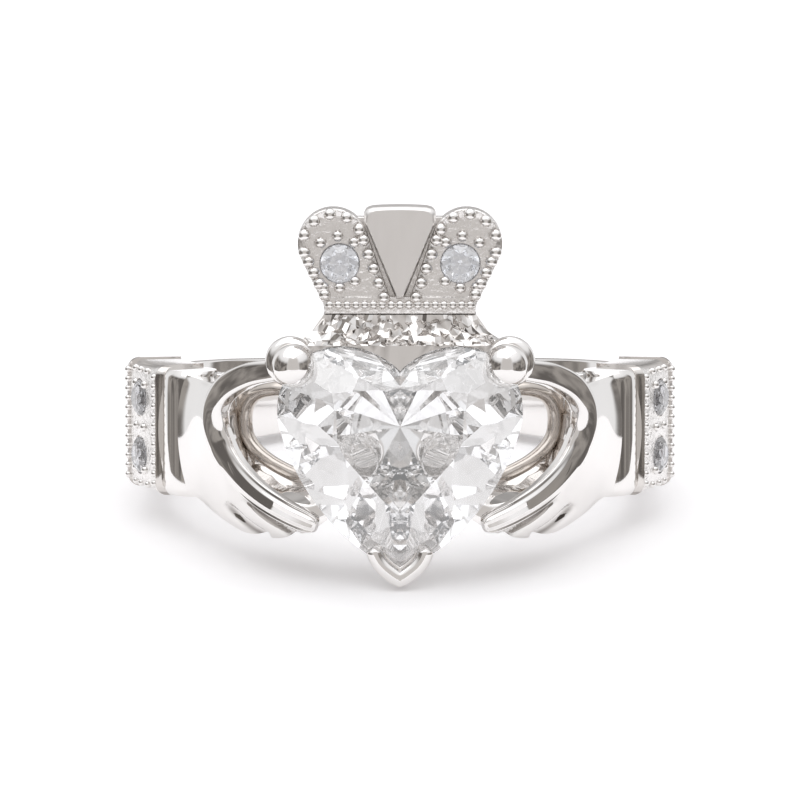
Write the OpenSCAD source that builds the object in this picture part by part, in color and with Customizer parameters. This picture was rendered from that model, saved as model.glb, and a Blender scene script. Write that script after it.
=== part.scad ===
// Claddagh ring: two hands hold a heart stone under a crown, on a finger band.
// It lies as it rests by itself, on the point of the heart's prong and the back of
// the band, so the crown leans back a little. The heart faces -Y, +X is its right.
// All modules draw the ring upright, with the finger's axis along Z, and lying()
// tips the whole ring about the centre of the finger hole.

/* [Finger hole] */
// Radius of the finger hole
finger_r = 8.4; // [8:0.1:9]

/* [Band] */
// Radial thickness of the band at the back
band_back_t = 1.5; // [1.3:0.05:1.8]
// Radial thickness of the band at the sides
band_side_t = 1.75; // [1.6:0.05:2]
// Width of the band along the finger at the back
band_back_w = 2.3; // [2:0.1:2.6]
// Width of the band along the finger at the sides
band_side_w = 4; // [3.6:0.1:4.3]

/* [Cuffs] */
// Angle from the heart to the middle of each stone-set cuff
cuff_angle = 70.5; // [69:0.5:72]
// Angle that a cuff spans round the finger
cuff_span = 19; // [17:0.5:20]
// Radial thickness of a cuff
cuff_t = 2.1; // [2:0.05:2.4]
// Width of a cuff along the finger
cuff_w = 4.8; // [4.6:0.1:5.3]
// Diameter of a cuff's stones
cuff_stone_d = 1.35; // [1.1:0.05:1.4]
// Distance between the two stones of a cuff
cuff_stone_pitch = 2.15; // [1.9:0.05:2.3]

/* [Wrist ribs] */
// Angle from the heart to the middle of the polished rib beside each cuff
rib_angle = 53.5; // [52.5:0.5:54.5]
// Radius of the rib's round
rib_r = 0.85; // [0.7:0.05:0.95]
// Length of the rib along the finger
rib_w = 4.7; // [4.4:0.1:5]

/* [Hands] */
// Radial thickness of the wrist where it leaves the rib
wrist_t = 1.7; // [1.6:0.05:1.9]
// Height of the wrist above the middle of the band
hand_up = 2.2; // [2:0.05:2.4]
// Depth of the lowest finger below the middle of the band
hand_down = 3.5; // [3.2:0.05:3.7]
// How far the back of the hand bulges out
hand_bulge = 0.6; // [0.4:0.05:0.75]
// Radius of the thickest finger
finger_round_r = 0.35; // [0.3:0.01:0.38]
// Radius of the thumb
thumb_r = 0.38; // [0.34:0.01:0.42]
// Radius of the wire that rims each window behind the hands
rim_r = 0.27; // [0.2:0.01:0.32]

/* [Heart stone] */
// Width of the heart stone
heart_w = 9; // [8.6:0.1:9.4]
// Height of the heart stone, from its point to the top of its lobes
heart_h = 8.3; // [8:0.1:8.6]
// Height of the lobes' tops above the middle of the band
heart_top = 3.82; // [3.6:0.02:4]
// Depth of the cleft between the lobes
heart_cleft = 0.94; // [0.7:0.02:1.1]
// Height of the stone's crown, from girdle to table
heart_crown = 1.15; // [0.9:0.05:1.4]
// Depth of the stone's pavilion, from girdle to culet
heart_pavilion = 3.2; // [2.9:0.05:3.5]
// Thickness of the girdle
heart_girdle = 0.16; // [0.1:0.02:0.24]
// Clearance between the culet and the finger
culet_clear = 0.25; // [0.2:0.05:0.6]

/* [Prongs] */
// Radius of the two ball prongs
ball_r = 0.8; // [0.7:0.02:0.86]
// Width of an arm of the V prong at the heart's point
v_arm = 0.46; // [0.36:0.02:0.5]
// Length of an arm of the V prong
v_len = 2; // [1.7:0.1:2.4]

/* [Crown] */
// Height of the crown's top above the middle of the band
crown_top = 8.83; // [8.5:0.05:9.2]
// Height of the crown above the beaded strip along its base
crown_h = 3.45; // [3.2:0.05:3.6]
// Distance of the crown's front from the finger
crown_reach = 2.55; // [2.4:0.05:2.7]
// Half width of the crown at its lobes
crown_half_w = 3.75; // [3.5:0.05:3.9]
// Radius of the round top of a lobe
lobe_round_r = 1.3; // [1.2:0.05:1.4]
// Half width of the crown at its base
crown_base_half_w = 2.85; // [2.7:0.05:3]
// Radial thickness of the crown's plate
crown_t = 1.15; // [1:0.05:1.4]
// How far the central panel stands proud of the lobes
panel_proud = 0.18; // [0.1:0.02:0.3]
// Half width of the central panel at its top
panel_half_w = 1.32; // [1.2:0.02:1.4]
// Width of the groove on each side of the central panel
groove_w = 0.28; // [0.2:0.02:0.34]
// Diameter of the crown's stones
crown_stone_d = 1.4; // [1.2:0.05:1.5]

/* [Beads] */
// Radius of the milgrain beads on the lobes
lobe_bead_r = 0.18; // [0.14:0.01:0.2]
// Radius of the milgrain beads on the base strip and the cuffs
fine_bead_r = 0.14; // [0.11:0.01:0.16]
// Radius of the bead prongs that hold the small stones
prong_bead_r = 0.22; // [0.18:0.01:0.24]
// Gap between each stone and its metal
stone_gap = 0.06; // [0.04:0.01:0.08]

/* [Hidden] */
$fn = 96;

// Vectors and points
function unit(v) = v / norm(v);
function mix(a, b, t) = a + (b - a) * t;
function on_circle(c, r, a) = [c[0] + r * cos(a), c[1] + r * sin(a)];
function arc(c, r, from, to, steps) = [for (i = [0:steps]) on_circle(c, r, mix(from, to, i / steps))];
function flip_x(p) = [-p[0], p[1]];
function flipped(points) = [for (i = [len(points) - 1:-1:0]) flip_x(points[i])];
function loop_item(list, i) = list[(i + len(list)) % len(list)];

// A point at an angle from the heart, a radius from the finger's axis and a height
function round_finger(angle, r, z) = [r * sin(angle), -r * cos(angle), z];

// The angle that a length along a round of radius r spans
function arc_angle(length, r) = length / r * 180 / PI;

// A place seen from the front as [x, z], on a cylinder round the finger's axis
function in_front(p, r) = [p[0], -sqrt(pow(r, 2) - pow(p[0], 2)), p[1]];

// A cubic curve that passes through four points at equal steps
function curve(p, t) =
    p[0] * (1 - t) * (1 - 1.5 * t) * (1 - 3 * t) + p[1] * 9 * t * (1 - t) * (1 - 1.5 * t)
    + p[2] * 4.5 * t * (1 - t) * (3 * t - 1) + p[3] * t * (1 - 1.5 * t) * (1 - 3 * t);

// Heart outline, seen from the front as [x, z]: a side arc, a lobe and a cleft arc
side_steps = 9;
lobe_steps = 8;
cleft_steps = 3;
lobe_turn = 14;
heart_tip = heart_top - heart_h;
lobe_x = heart_w * 0.244;
lobe_r = heart_w / 2 - lobe_x;
lobe_c = [lobe_x, heart_top - lobe_r];
cleft_r = (pow(lobe_x, 2) + pow(heart_cleft, 2)) / (2 * heart_cleft);
cleft_c = [lobe_x, heart_top - cleft_r];
lobe_end = on_circle(lobe_c, lobe_r, -lobe_turn);
tip_from_lobe = [0, heart_tip] - lobe_end;
side_normal = [cos(lobe_turn), -sin(lobe_turn)];
side_r = -(tip_from_lobe * tip_from_lobe) / (2 * (tip_from_lobe * side_normal));
side_c = lobe_end - side_r * side_normal;

function side_tip_angle(g) = -acos(-side_c[0] / (side_r + g));
function cleft_angle(g) = 90 + asin(lobe_x / (cleft_r + g));
function heart_half(g) = concat(
    [for (i = [0:side_steps - 1])
        on_circle(side_c, side_r + g, mix(side_tip_angle(g), -lobe_turn, i / side_steps))],
    [for (i = [0:lobe_steps - 1])
        on_circle(lobe_c, lobe_r + g, mix(-lobe_turn, 90, i / lobe_steps))],
    [for (i = [0:cleft_steps])
        on_circle(cleft_c, cleft_r + g, mix(90, cleft_angle(g), i / cleft_steps))]);
function heart_outline(g) =
    let (half = heart_half(g), last = len(half) - 1)
    concat(half, [for (i = [last - 1:-1:1]) flip_x(half[i])]);

// The stones' cuts, as shares: where facets meet between the centre and the girdle
heart_centre = [0, heart_top - heart_h * 0.36];
heart_cut = [["table_share", 0.54], ["star_share", 0.75], ["star_rise", 0.62],
    ["lower_share", 0.26], ["lower_drop", 0.76]];
round_cut = [["table_share", 0.56], ["star_share", 0.76], ["star_rise", 0.6],
    ["lower_share", 0.24], ["lower_drop", 0.77]];
function cut(table, name) = [for (row = table) if (row[0] == name) row[1]][0];

// Heart stone, depth of its girdle from the finger's axis
heart_girdle_y = -(finger_r + culet_clear + heart_pavilion + heart_girdle / 2);

// Round stones, as shares of their diameter
round_crown = 0.15;
round_pavilion = 0.42;
round_girdle = 0.03;
round_points = 16;
seat_mouth = 0.62;
seat_foot = 0.25;
function round_outline(r) =
    [for (i = [0:round_points - 1]) on_circle([0, 0], r, 360 * i / round_points)];

// Band
band_back_r = finger_r + band_back_t;
band_side_r = finger_r + band_side_t;
band_shift = band_side_t - band_back_t;
band_step = 8;
band_reach = 136;
function band_half_w(a) = mix(band_back_w, band_side_w, a / 90) / 2;
band_edge = [for (a = [0:band_step:band_reach]) [band_back_r * cos(a), band_half_w(a)]];

// Wall behind the heart, pierced by a window on each side
base_t = 0.75;
base_mid_r = finger_r + base_t / 2;

// Cuffs and ribs
cuff_r = finger_r + cuff_t;
cuff_start = cuff_angle - cuff_span / 2;
cuff_field_drop = 0.1;
cuff_field_r = cuff_r - cuff_field_drop;
cuff_round = 0.5;
cuff_lip_angle = 1.4;
cuff_lip_proud = 0.05;
cuff_bead_row = cuff_w / 2 - cuff_round * 0.8;
cuff_prong_side = 0.44;
cuff_end_prong_side = 0.55;
rib_axis_r = cuff_r - rib_r;

// V prong: its front face, its bevel and the slope of its arms
v_front_y = heart_girdle_y - 0.5;
v_bevel = 0.07;
v_slope = 48;
v_point = heart_tip - stone_gap - v_arm;
v_inner_point = v_point + v_arm / cos(v_slope);

// Ball prongs
ball_right = [heart_w * 0.433, heart_girdle_y - 0.35, heart_top - 0.62];

// Crown, in the plane of its front face as [x, z]
crown_front_y = -(finger_r + crown_reach);
crown_back_y = crown_front_y + crown_t;
crown_base_z = crown_top - crown_h;
strip_h = 0.5;
strip_low_z = crown_base_z - strip_h;
groove_floor_y = crown_front_y + 0.6;
round_c = [crown_half_w - lobe_round_r, crown_top - lobe_round_r];
panel_foot_half_w = 0.14;
panel_top_z = crown_top + 0.1;
panel_foot_z = crown_base_z + 0.12;
panel_corner = 0.22;
lobe_foot_out = [crown_base_half_w, crown_base_z];
lobe_foot_in = [panel_foot_half_w + groove_w * 0.6, crown_base_z];
crown_stone_at = [crown_half_w * 0.59, crown_top - 2.02];

// The angle at which a line from p touches a circle, on its turn side (1 or -1)
function touch_angle(p, c, r, turn) =
    atan2(c[1] - p[1], c[0] - p[0]) + turn * (90 + asin(r / norm(c - p)));
lobe_angle_out = touch_angle(lobe_foot_out, round_c, lobe_round_r, -1);
lobe_angle_in = touch_angle(lobe_foot_in, round_c, lobe_round_r, 1);
lobe_touch_out = on_circle(round_c, lobe_round_r, lobe_angle_out);
lobe_touch_in = on_circle(round_c, lobe_round_r, lobe_angle_in);

// Rest: the ring tips until the V prong's point and the band's back edge are level
function rest_angle(edge) =
    atan2(-edge[1] - v_point, edge[0] - (v_front_y + v_bevel));
rest_tilt = min([for (edge = band_edge) if (edge[0] > 0) rest_angle(edge)]);

// Hands: places as shares of the way from the fingertips to the wrist, from the wrist
// to the heart's girdle, and up or down from the middle of the band
wrist_angle = rib_angle - 3.5;
wrist_r = finger_r + wrist_t;
wrist_at = round_finger(wrist_angle, wrist_r, 0);
tips_x = heart_w * 0.322;
tips_y = heart_girdle_y + 0.1;
function hand_point(share) = [
    mix(tips_x, wrist_at[0], share[0]),
    mix(wrist_at[1], tips_y, share[1]),
    share[2] * (share[2] > 0 ? hand_up : hand_down)];

// Sections of the palm, from the wrist to the fingertips.
// Columns: inner edge x, y, z; outer edge x, y, z; bulge; 1 where it reaches the finger
palm_sections = [
    [1.09, -0.11, 0.88, 1.09, -0.11, -0.60, 0.20, 1],
    [0.97, 0.06, 0.93, 0.97, 0.06, -0.66, 0.55, 1],
    [0.84, 0.26, 0.94, 0.82, 0.28, -0.79, 0.85, 1],
    [0.74, 0.42, 0.90, 0.70, 0.43, -0.88, 1.00, 1],
    [0.73, 0.50, 0.48, 0.60, 0.52, -0.94, 1.00, 1],
    [0.71, 0.58, 0.06, 0.51, 0.60, -0.96, 0.90, 1],
    [0.65, 0.65, -0.17, 0.42, 0.67, -0.97, 0.75, 1],
    [0.58, 0.71, -0.34, 0.33, 0.74, -0.97, 0.55, 1],
    [0.34, 0.82, -0.50, 0.18, 0.84, -0.92, 0.30, 0],
    [0.12, 0.90, -0.58, 0.06, 0.91, -0.84, 0.20, 0],
    [-0.03, 0.93, -0.55, -0.05, 0.93, -0.74, 0.05, 0]
];
// Points across the back of the hand. Columns: share from outer to inner edge, bulge share
palm_profile = [
    [0.00, 0.00], [0.07, 0.35], [0.24, 0.78], [0.45, 1.00],
    [0.66, 1.00], [0.82, 0.80], [0.94, 0.45], [1.00, 0.00]
];
palm_flare = 0.5;
palm_rear_r = finger_r - 0.4;
palm_rear_drop = 0.6;
palm_web_t = 1.2;
palm_rear_limit = palm_rear_r * sin(wrist_angle);
palm_rear_creep = 0.1;

// The thumb's roll, from the ball prong round the palm's inner edge to the first
// fingertip. Columns: x, y and z as shares of the hand; radius as a share of the thumb's
roll_line = [
    [0.26, 1.03, 1.38, 0.85], [0.37, 0.97, 1.34, 0.92], [0.54, 0.82, 1.24, 1.00],
    [0.71, 0.62, 1.00, 1.08], [0.79, 0.51, 0.70, 1.10], [0.80, 0.48, 0.37, 1.10],
    [0.76, 0.51, 0.04, 1.10], [0.69, 0.58, -0.17, 1.10], [0.58, 0.68, -0.36, 1.10],
    [0.44, 0.78, -0.52, 1.06], [0.26, 0.90, -0.66, 1.00], [0.11, 0.97, -0.75, 0.92],
    [0.05, 0.99, -0.78, 0.70], [0.03, 1.00, -0.79, 0.40]
];
// Points along the middle of each other finger, knuckle first, as shares of the hand
finger_lines = [
    [[0.58, 0.61, -0.50], [0.43, 0.75, -0.63], [0.24, 0.89, -0.77], [0.03, 0.99, -0.87]],
    [[0.71, 0.45, -0.60], [0.57, 0.62, -0.73], [0.40, 0.76, -0.85], [0.17, 0.91, -0.92]],
    [[0.74, 0.37, -0.76], [0.65, 0.51, -0.87], [0.54, 0.61, -0.93], [0.36, 0.74, -0.96]]
];
finger_r_shares = [0.94, 1.00, 0.80];
// Rings along a finger. Columns: share of its length, radius share
finger_rings = [
    [0.02, 0.70], [0.18, 0.92], [0.36, 1.04], [0.56, 1.00],
    [0.74, 0.98], [0.88, 0.92], [0.95, 0.72], [0.985, 0.42]
];
limb_sides = 10;

// Window between each hand and the heart, seen from the front. Columns: x as a share of
// half the heart's width, z as a share of the wrist's height
window_points = [
    [0.60, 0.76], [0.82, 0.85], [1.02, 0.84], [1.16, 0.73], [1.23, 0.53], [1.25, 0.27],
    [1.23, 0.02], [1.16, -0.20], [1.04, -0.39], [0.88, -0.55], [0.70, -0.68], [0.60, -0.62]
];
window_outline = [for (p = window_points) [p[0] * heart_w / 2, p[1] * hand_up]];
rim_sides = 8;
rim_mid_r = finger_r + base_t - rim_r * 0.2;

module lying() {
    rotate([-rest_tilt, 0, 0]) children();
}

module both_sides() {
    children();
    mirror([1, 0, 0]) children();
}

// Draws a shape given as [x, z] and gives it depth between two places along Y
module front_plate(front_y, back_y) {
    translate([0, back_y, 0]) rotate([90, 0, 0]) linear_extrude(back_y - front_y) children();
}

// Turns a profile given as [radius, z] round the finger between two angles from the heart
module round_plate(start, span) {
    rotate([0, 0, start - 90]) rotate_extrude(angle = span) children();
}

// A round bar between two points
module bar(a, b, r) {
    d = b - a;
    translate(a) rotate([0, acos(d[2] / norm(d)), atan2(d[1], d[0])]) cylinder(h = norm(d), r = r);
}

// A closed skin over rings with an even count of points, each turning left as seen from
// the path's far end. The ends close in strips between a ring's first and second half.
module loft(rings) {
    n = len(rings[0]);
    last = (len(rings) - 1) * n;
    strips = [for (k = [0:n / 2 - 2]) each [[k, k + 1, n - 2 - k], [k, n - 2 - k, n - 1 - k]]];
    sides = [for (i = [0:len(rings) - 2], j = [0:n - 1])
        let (a = i * n + j, b = i * n + (j + 1) % n)
        each [[a, b + n, b], [a, a + n, b + n]]];
    end_strips = [for (f = strips) [last + f[2], last + f[1], last + f[0]]];
    polyhedron([for (ring = rings) each ring], concat(sides, strips, end_strips), convexity = 6);
}

// A ring of points round a path that goes through a point in a direction
function tube_ring(at, along, r, n) =
    let (across = unit(cross([at[0], at[1], 0], along)), up = cross(along, across))
    [for (j = [0:n - 1]) at + r * (cos(360 * j / n) * across + sin(360 * j / n) * up)];

// A round tube through a list of points with a radius at each
module tube(path, radii, sides) {
    last = len(path) - 1;
    loft([for (i = [0:last])
        tube_ring(path[i], unit(path[min(i + 1, last)] - path[max(i - 1, 0)]), radii[i], sides)]);
}

// A finger along a line of four points
module finger(line, r) {
    points = [for (share = line) hand_point(share)];
    tube([for (ring = finger_rings) curve(points, ring[0])],
        [for (ring = finger_rings) r * ring[1]], limb_sides);
}

// A cut stone with its girdle in the plane Z = 0: a table, star, main and half facets
module cut_stone(outline, centre, shape, crown_h, girdle_h, pavilion_h) {
    n = len(outline) / 2;
    function inward(j, share) = mix(centre, loop_item(outline, j), share);
    top = girdle_h / 2;
    table_ring = [for (k = [0:n - 1])
        let (p = inward(2 * k + 1, cut(shape, "table_share"))) [p[0], p[1], top + crown_h]];
    star_ring = [for (k = [0:n - 1])
        let (p = inward(2 * k, cut(shape, "star_share")))
        [p[0], p[1], top + crown_h * cut(shape, "star_rise")]];
    upper_girdle = [for (p = outline) [p[0], p[1], top]];
    lower_girdle = [for (p = outline) [p[0], p[1], -top]];
    lower_ring = [for (k = [0:n - 1])
        let (p = inward(2 * k, cut(shape, "lower_share")))
        [p[0], p[1], -top - pavilion_h * cut(shape, "lower_drop")]];
    culet = [centre[0], centre[1], -top - pavilion_h];
    function table_id(k) = (k + n) % n;
    function star_id(k) = n + (k + n) % n;
    function upper_id(j) = 2 * n + (j + 2 * n) % (2 * n);
    function lower_id(j) = 4 * n + (j + 2 * n) % (2 * n);
    function deep_id(k) = 6 * n + (k + n) % n;
    culet_id = 7 * n;
    crown_faces = [for (k = [0:n - 1]) each [
        [table_id(k), star_id(k), table_id(k - 1)],
        [upper_id(2 * k + 1), star_id(k), table_id(k)],
        [star_id(k + 1), upper_id(2 * k + 1), table_id(k)],
        [upper_id(2 * k), upper_id(2 * k - 1), star_id(k)],
        [upper_id(2 * k + 1), upper_id(2 * k), star_id(k)]]];
    girdle_faces = [for (j = [0:2 * n - 1])
        [upper_id(j), upper_id(j + 1), lower_id(j + 1), lower_id(j)]];
    pavilion_faces = [for (k = [0:n - 1]) each [
        [lower_id(2 * k - 1), lower_id(2 * k), deep_id(k)],
        [lower_id(2 * k), lower_id(2 * k + 1), deep_id(k)],
        [deep_id(k), lower_id(2 * k + 1), culet_id],
        [lower_id(2 * k + 1), deep_id(k + 1), culet_id]]];
    table_face = [[for (k = [n - 1:-1:0]) table_id(k)]];
    polyhedron(concat(table_ring, star_ring, upper_girdle, lower_girdle, lower_ring, [culet]),
        concat(table_face, crown_faces, girdle_faces, pavilion_faces), convexity = 4);
}

module heart_shape(gap) {
    translate([0, heart_girdle_y, 0]) rotate([90, 0, 0])
        cut_stone(heart_outline(gap), heart_centre, heart_cut,
            heart_crown + gap, heart_girdle + 2 * gap, heart_pavilion + gap);
}

module round_stone(d) {
    cut_stone(round_outline(d / 2), [0, 0], round_cut,
        round_crown * d, round_girdle * d, round_pavilion * d);
}

// The space that a round stone and its gap take from the metal
module round_seat(d) {
    r = d / 2 + stone_gap;
    top = round_girdle * d / 2 + stone_gap;
    rise = round_crown * d;
    drop = round_pavilion * d + stone_gap;
    translate([0, 0, -top - drop]) cylinder(h = drop, r1 = r * seat_foot, r2 = r);
    translate([0, 0, -top]) cylinder(h = 2 * top, r = r);
    translate([0, 0, top]) cylinder(h = rise, r1 = r, r2 = r * seat_mouth);
    translate([0, 0, top + rise]) cylinder(h = d / 2, r = r * seat_mouth);
}

module band() {
    long = 4 * finger_r;
    difference() {
        intersection() {
            translate([0, -band_shift, 0]) sphere(r = band_side_r);
            rotate([90, 0, 90]) linear_extrude(long, center = true)
                polygon(concat(band_edge,
                    [for (i = [len(band_edge) - 1:-1:0]) [band_edge[i][0], -band_edge[i][1]]]));
        }
        linear_extrude(long, center = true)
            polygon([[0, 0], long * [sin(rib_angle), -cos(rib_angle)],
                long * [-sin(rib_angle), -cos(rib_angle)]]);
    }
}

// The band's thin wall behind the heart, open at the windows
module base_wall() {
    end = rib_angle + 1;
    difference() {
        round_plate(-end, 2 * end)
            translate([finger_r - base_t, -hand_up]) square([2 * base_t, 2 * hand_up]);
        both_sides() front_plate(-2 * finger_r, 0) polygon(window_outline);
    }
}

// A polished wire along the outer edge of a window
module window_rim() {
    path = [for (i = [1:len(window_outline) - 2]) in_front(window_outline[i] + [rim_r / 2, 0], rim_mid_r)];
    tube(path, [for (p = path) rim_r], rim_sides);
}

// A cuff's profile as [radius, z], with its two outer corners rounded
function cuff_profile(r, half) =
    concat([[finger_r - base_t, -half]], arc([r - cuff_round, cuff_round - half], cuff_round, -90, 0, 4),
        arc([r - cuff_round, half - cuff_round], cuff_round, 0, 90, 4), [[finger_r - base_t, half]]);

module cuff() {
    half = cuff_w / 2;
    round_plate(cuff_start, cuff_span) polygon(cuff_profile(cuff_field_r, half));
    for (start = [cuff_start - 0.2, cuff_start + cuff_span - cuff_lip_angle + 0.2])
        round_plate(start, cuff_lip_angle) polygon(cuff_profile(cuff_r, half + cuff_lip_proud));
    cuff_beads();
    cuff_prongs();
}

// Milgrain up both edges of a cuff and across its ends
module cuff_beads() {
    pitch = 3.2 * fine_bead_r;
    up = floor(2 * cuff_bead_row / pitch);
    across = 4;
    for (side = [-1, 1], i = [0:up])
        translate(round_finger(cuff_angle + side * (cuff_span - cuff_lip_angle) / 2,
            cuff_r - fine_bead_r * 0.3, mix(-1, 1, i / up) * cuff_bead_row)) sphere(r = fine_bead_r);
    for (side = [-1, 1], i = [1:across - 1])
        translate(round_finger(cuff_angle + mix(-1, 1, i / across) * cuff_span * 0.42,
            cuff_field_r - fine_bead_r * 0.5, side * (cuff_bead_row + fine_bead_r))) sphere(r = fine_bead_r);
}

module cuff_prongs() {
    prong_r = prong_bead_r * 0.8;
    foot_r = cuff_field_r - prong_r * 0.2;
    for (side = [-1, 1]) {
        translate(round_finger(cuff_angle + side * arc_angle(cuff_prong_side, foot_r), foot_r, 0))
            sphere(r = prong_r);
        for (end = [-1, 1])
            translate(round_finger(cuff_angle + side * arc_angle(cuff_end_prong_side, foot_r), foot_r,
                end * (cuff_stone_pitch + cuff_stone_d) * 0.46)) sphere(r = prong_r);
    }
}

module rib() {
    intersection() {
        translate(round_finger(rib_angle, rib_axis_r, -rib_w / 2)) cylinder(h = rib_w, r = rib_r);
        sphere(r = norm([cuff_r, rib_w * 0.3]));
    }
}

// Where the palm's rear meets the finger hole, kept clear of the rib
function palm_rear_x(x) = x < palm_rear_limit ? x : mix(palm_rear_limit, x, palm_rear_creep);

function palm_ring(row) =
    let (inner = hand_point([row[0], row[1], row[2]]),
        outer = hand_point([row[3], row[4], row[5]]),
        reach = row[7] == 1,
        back = [for (p = palm_profile)
            let (at = mix(outer, inner, p[0]))
            at + unit([at[0], at[1], 0]) * hand_bulge * row[6] * p[1]],
        inner_rear = [palm_rear_x(inner[0] - palm_flare), inner[2] * 0.97],
        outer_rear = [palm_rear_x(outer[0]), outer[2] * palm_rear_drop])
    concat(
        [reach ? in_front(outer_rear, palm_rear_r) : [outer_rear[0], outer[1] + palm_web_t, outer_rear[1]]],
        back,
        [reach ? in_front(inner_rear, palm_rear_r) : [inner_rear[0], inner[1] + palm_web_t, inner_rear[1]]]);

module palm() {
    loft([for (row = palm_sections) palm_ring(row)]);
}

module hand() {
    palm();
    for (i = [0:len(finger_lines) - 1]) finger(finger_lines[i], finger_round_r * finger_r_shares[i]);
    tube([for (p = roll_line) hand_point(p)], [for (p = roll_line) thumb_r * p[3]], limb_sides);
    window_rim();
}

module ball_prong() {
    translate(ball_right) sphere(r = ball_r);
    bar(ball_right, in_front([ball_right[0] * 0.62, ball_right[2] * 0.48], base_mid_r - base_t * 0.3),
        ball_r * 0.6);
}

// Outline of the V prong from the front, grown by a size and lifted
function v_outline(grow, lift) =
    let (dir = [cos(v_slope), sin(v_slope)],
        across = [-sin(v_slope), cos(v_slope)],
        outer = [0, v_point - grow / cos(v_slope) + lift],
        inner = [0, v_inner_point + lift],
        end_out = outer + dir * (v_len + grow),
        end_in = end_out + across * (v_arm + grow))
    [flip_x(end_out), outer, end_out, end_in, inner, flip_x(end_in)];

function v_section(y, grow, lift) = [for (p = v_outline(grow, lift)) [p[0], y, p[1]]];

module v_prong() {
    cap_y = heart_girdle_y + 0.4;
    cap_lift = 0.12;
    foot_grow = 0.1;
    foot_lift = 2.1;
    loft([v_section(-base_mid_r, foot_grow, foot_lift), v_section(cap_y, 0, cap_lift),
        v_section(v_front_y + v_bevel, 0, 0), v_section(v_front_y, -v_bevel, 0)]);
}

// A heart-shaped collar that carries the stone on the wall behind it
module gallery() {
    outer_share = 0.66;
    inner_share = 0.5;
    top_depth = 1;
    front_plate(heart_girdle_y + top_depth, -base_mid_r + base_t) difference() {
        polygon([for (p = heart_outline(0)) mix(heart_centre, p, outer_share)]);
        polygon([for (p = heart_outline(0)) mix(heart_centre, p, inner_share)]);
    }
}

module crown_lobe() {
    front_plate(crown_front_y, crown_back_y)
        polygon(concat([lobe_foot_in, lobe_foot_out],
            arc(round_c, lobe_round_r, lobe_angle_out, lobe_angle_in, 16)));
    lobe_beads();
    for (a = [45, 135, 225, 315])
        translate([crown_stone_at[0], crown_front_y, crown_stone_at[1]]
            + (crown_stone_d / 2 + prong_bead_r * 0.45) * [cos(a), 0, sin(a)])
            sphere(r = prong_bead_r);
}

// Milgrain up the outer edge, over the round and down the inner edge of a lobe
module lobe_beads() {
    inset = lobe_bead_r * 1.15;
    edge_beads = 5;
    round_beads = 5;
    out_side = [cos(lobe_angle_out), sin(lobe_angle_out)];
    in_side = [cos(lobe_angle_in), sin(lobe_angle_in)];
    for (i = [0:edge_beads - 1]) {
        lobe_bead(mix(lobe_foot_out, lobe_touch_out, (i + 0.5) / (edge_beads - 0.1)) - out_side * inset);
        lobe_bead(mix(lobe_foot_in, lobe_touch_in, (i + 0.5) / (edge_beads - 0.1)) - in_side * inset);
    }
    for (i = [0:round_beads])
        lobe_bead(on_circle(round_c, lobe_round_r - inset,
            mix(lobe_angle_out, lobe_angle_in, (i + 0.3) / (round_beads + 0.6))));
}

module lobe_bead(p) {
    translate([p[0], crown_front_y, p[1]]) sphere(r = lobe_bead_r);
}

function panel_outline(inset) =
    let (half = panel_half_w - inset, top = panel_top_z - inset, foot = panel_foot_half_w - inset / 2,
        corner = [[foot, panel_foot_z + inset], [half, top - panel_corner * 1.4], [half - panel_corner, top]])
    concat(corner, flipped(corner));

function panel_section(y, inset) = [for (p = panel_outline(inset)) [p[0], y, p[1]]];

// The satin panel between the lobes, with bevelled edges
module crown_panel() {
    front = crown_front_y - panel_proud;
    bevel = 0.1;
    loft([panel_section(crown_back_y, 0), panel_section(front + bevel, 0), panel_section(front, bevel)]);
}

// Backing of the crown between its lobes, and the beaded strip along its base
module crown_back() {
    backing_corner = [panel_half_w + groove_w, crown_top - 0.35];
    front_plate(groove_floor_y, crown_back_y)
        polygon([lobe_foot_out - [0.1, 0.1], backing_corner, flip_x(backing_corner),
            flip_x(lobe_foot_out - [0.1, 0.1])]);
    strip_foot = [crown_base_half_w, strip_low_z];
    front_plate(crown_front_y, crown_back_y)
        polygon([strip_foot, lobe_foot_out, flip_x(lobe_foot_out), flip_x(strip_foot)]);
    strip_beads = floor(crown_base_half_w / fine_bead_r * 0.86);
    for (i = [0:strip_beads])
        translate([mix(-1, 1, i / strip_beads) * (crown_base_half_w - fine_bead_r * 1.5),
            crown_front_y, crown_base_z - strip_h * 0.42]) sphere(r = fine_bead_r);
}

// The scooped saddle between the crown and the heart's lobes, and the web behind it
module saddle() {
    scoop_r = 1.35;
    scoop_at = [0, crown_front_y - scoop_r + 0.12, strip_low_z + 0.28];
    low = heart_top - heart_cleft - 0.9;
    shoulder = [[ball_right[0], low], [ball_right[0], ball_right[2] + ball_r * 0.8],
        [crown_base_half_w + 0.25, strip_low_z - 0.35], [crown_base_half_w, strip_low_z + 0.05]];
    web = [[ball_right[0] * 0.55, hand_up * 0.7], [ball_right[0] * 0.8, low + 0.3]];
    difference() {
        front_plate(heart_girdle_y - 0.12, crown_back_y) polygon(concat(shoulder, flipped(shoulder)));
        translate(scoop_at) rotate([0, 90, 0]) cylinder(h = 4 * ball_right[0], r = scoop_r, center = true);
    }
    front_plate(crown_back_y - 0.3, -base_mid_r) polygon(concat(web, flipped(web)));
}

module crown() {
    both_sides() crown_lobe();
    crown_panel();
    crown_back();
}

module at_crown_stone(side) {
    translate([side * crown_stone_at[0], crown_front_y, crown_stone_at[1]]) rotate([90, 0, 0]) children();
}

module at_cuff_stone(side, level) {
    rotate([0, 0, side * cuff_angle]) translate([0, -cuff_field_r, level * cuff_stone_pitch / 2])
        rotate([90, 0, 0]) children();
}

module finger_bore() {
    cylinder(h = 4 * cuff_w, r = finger_r, center = true);
}

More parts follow.
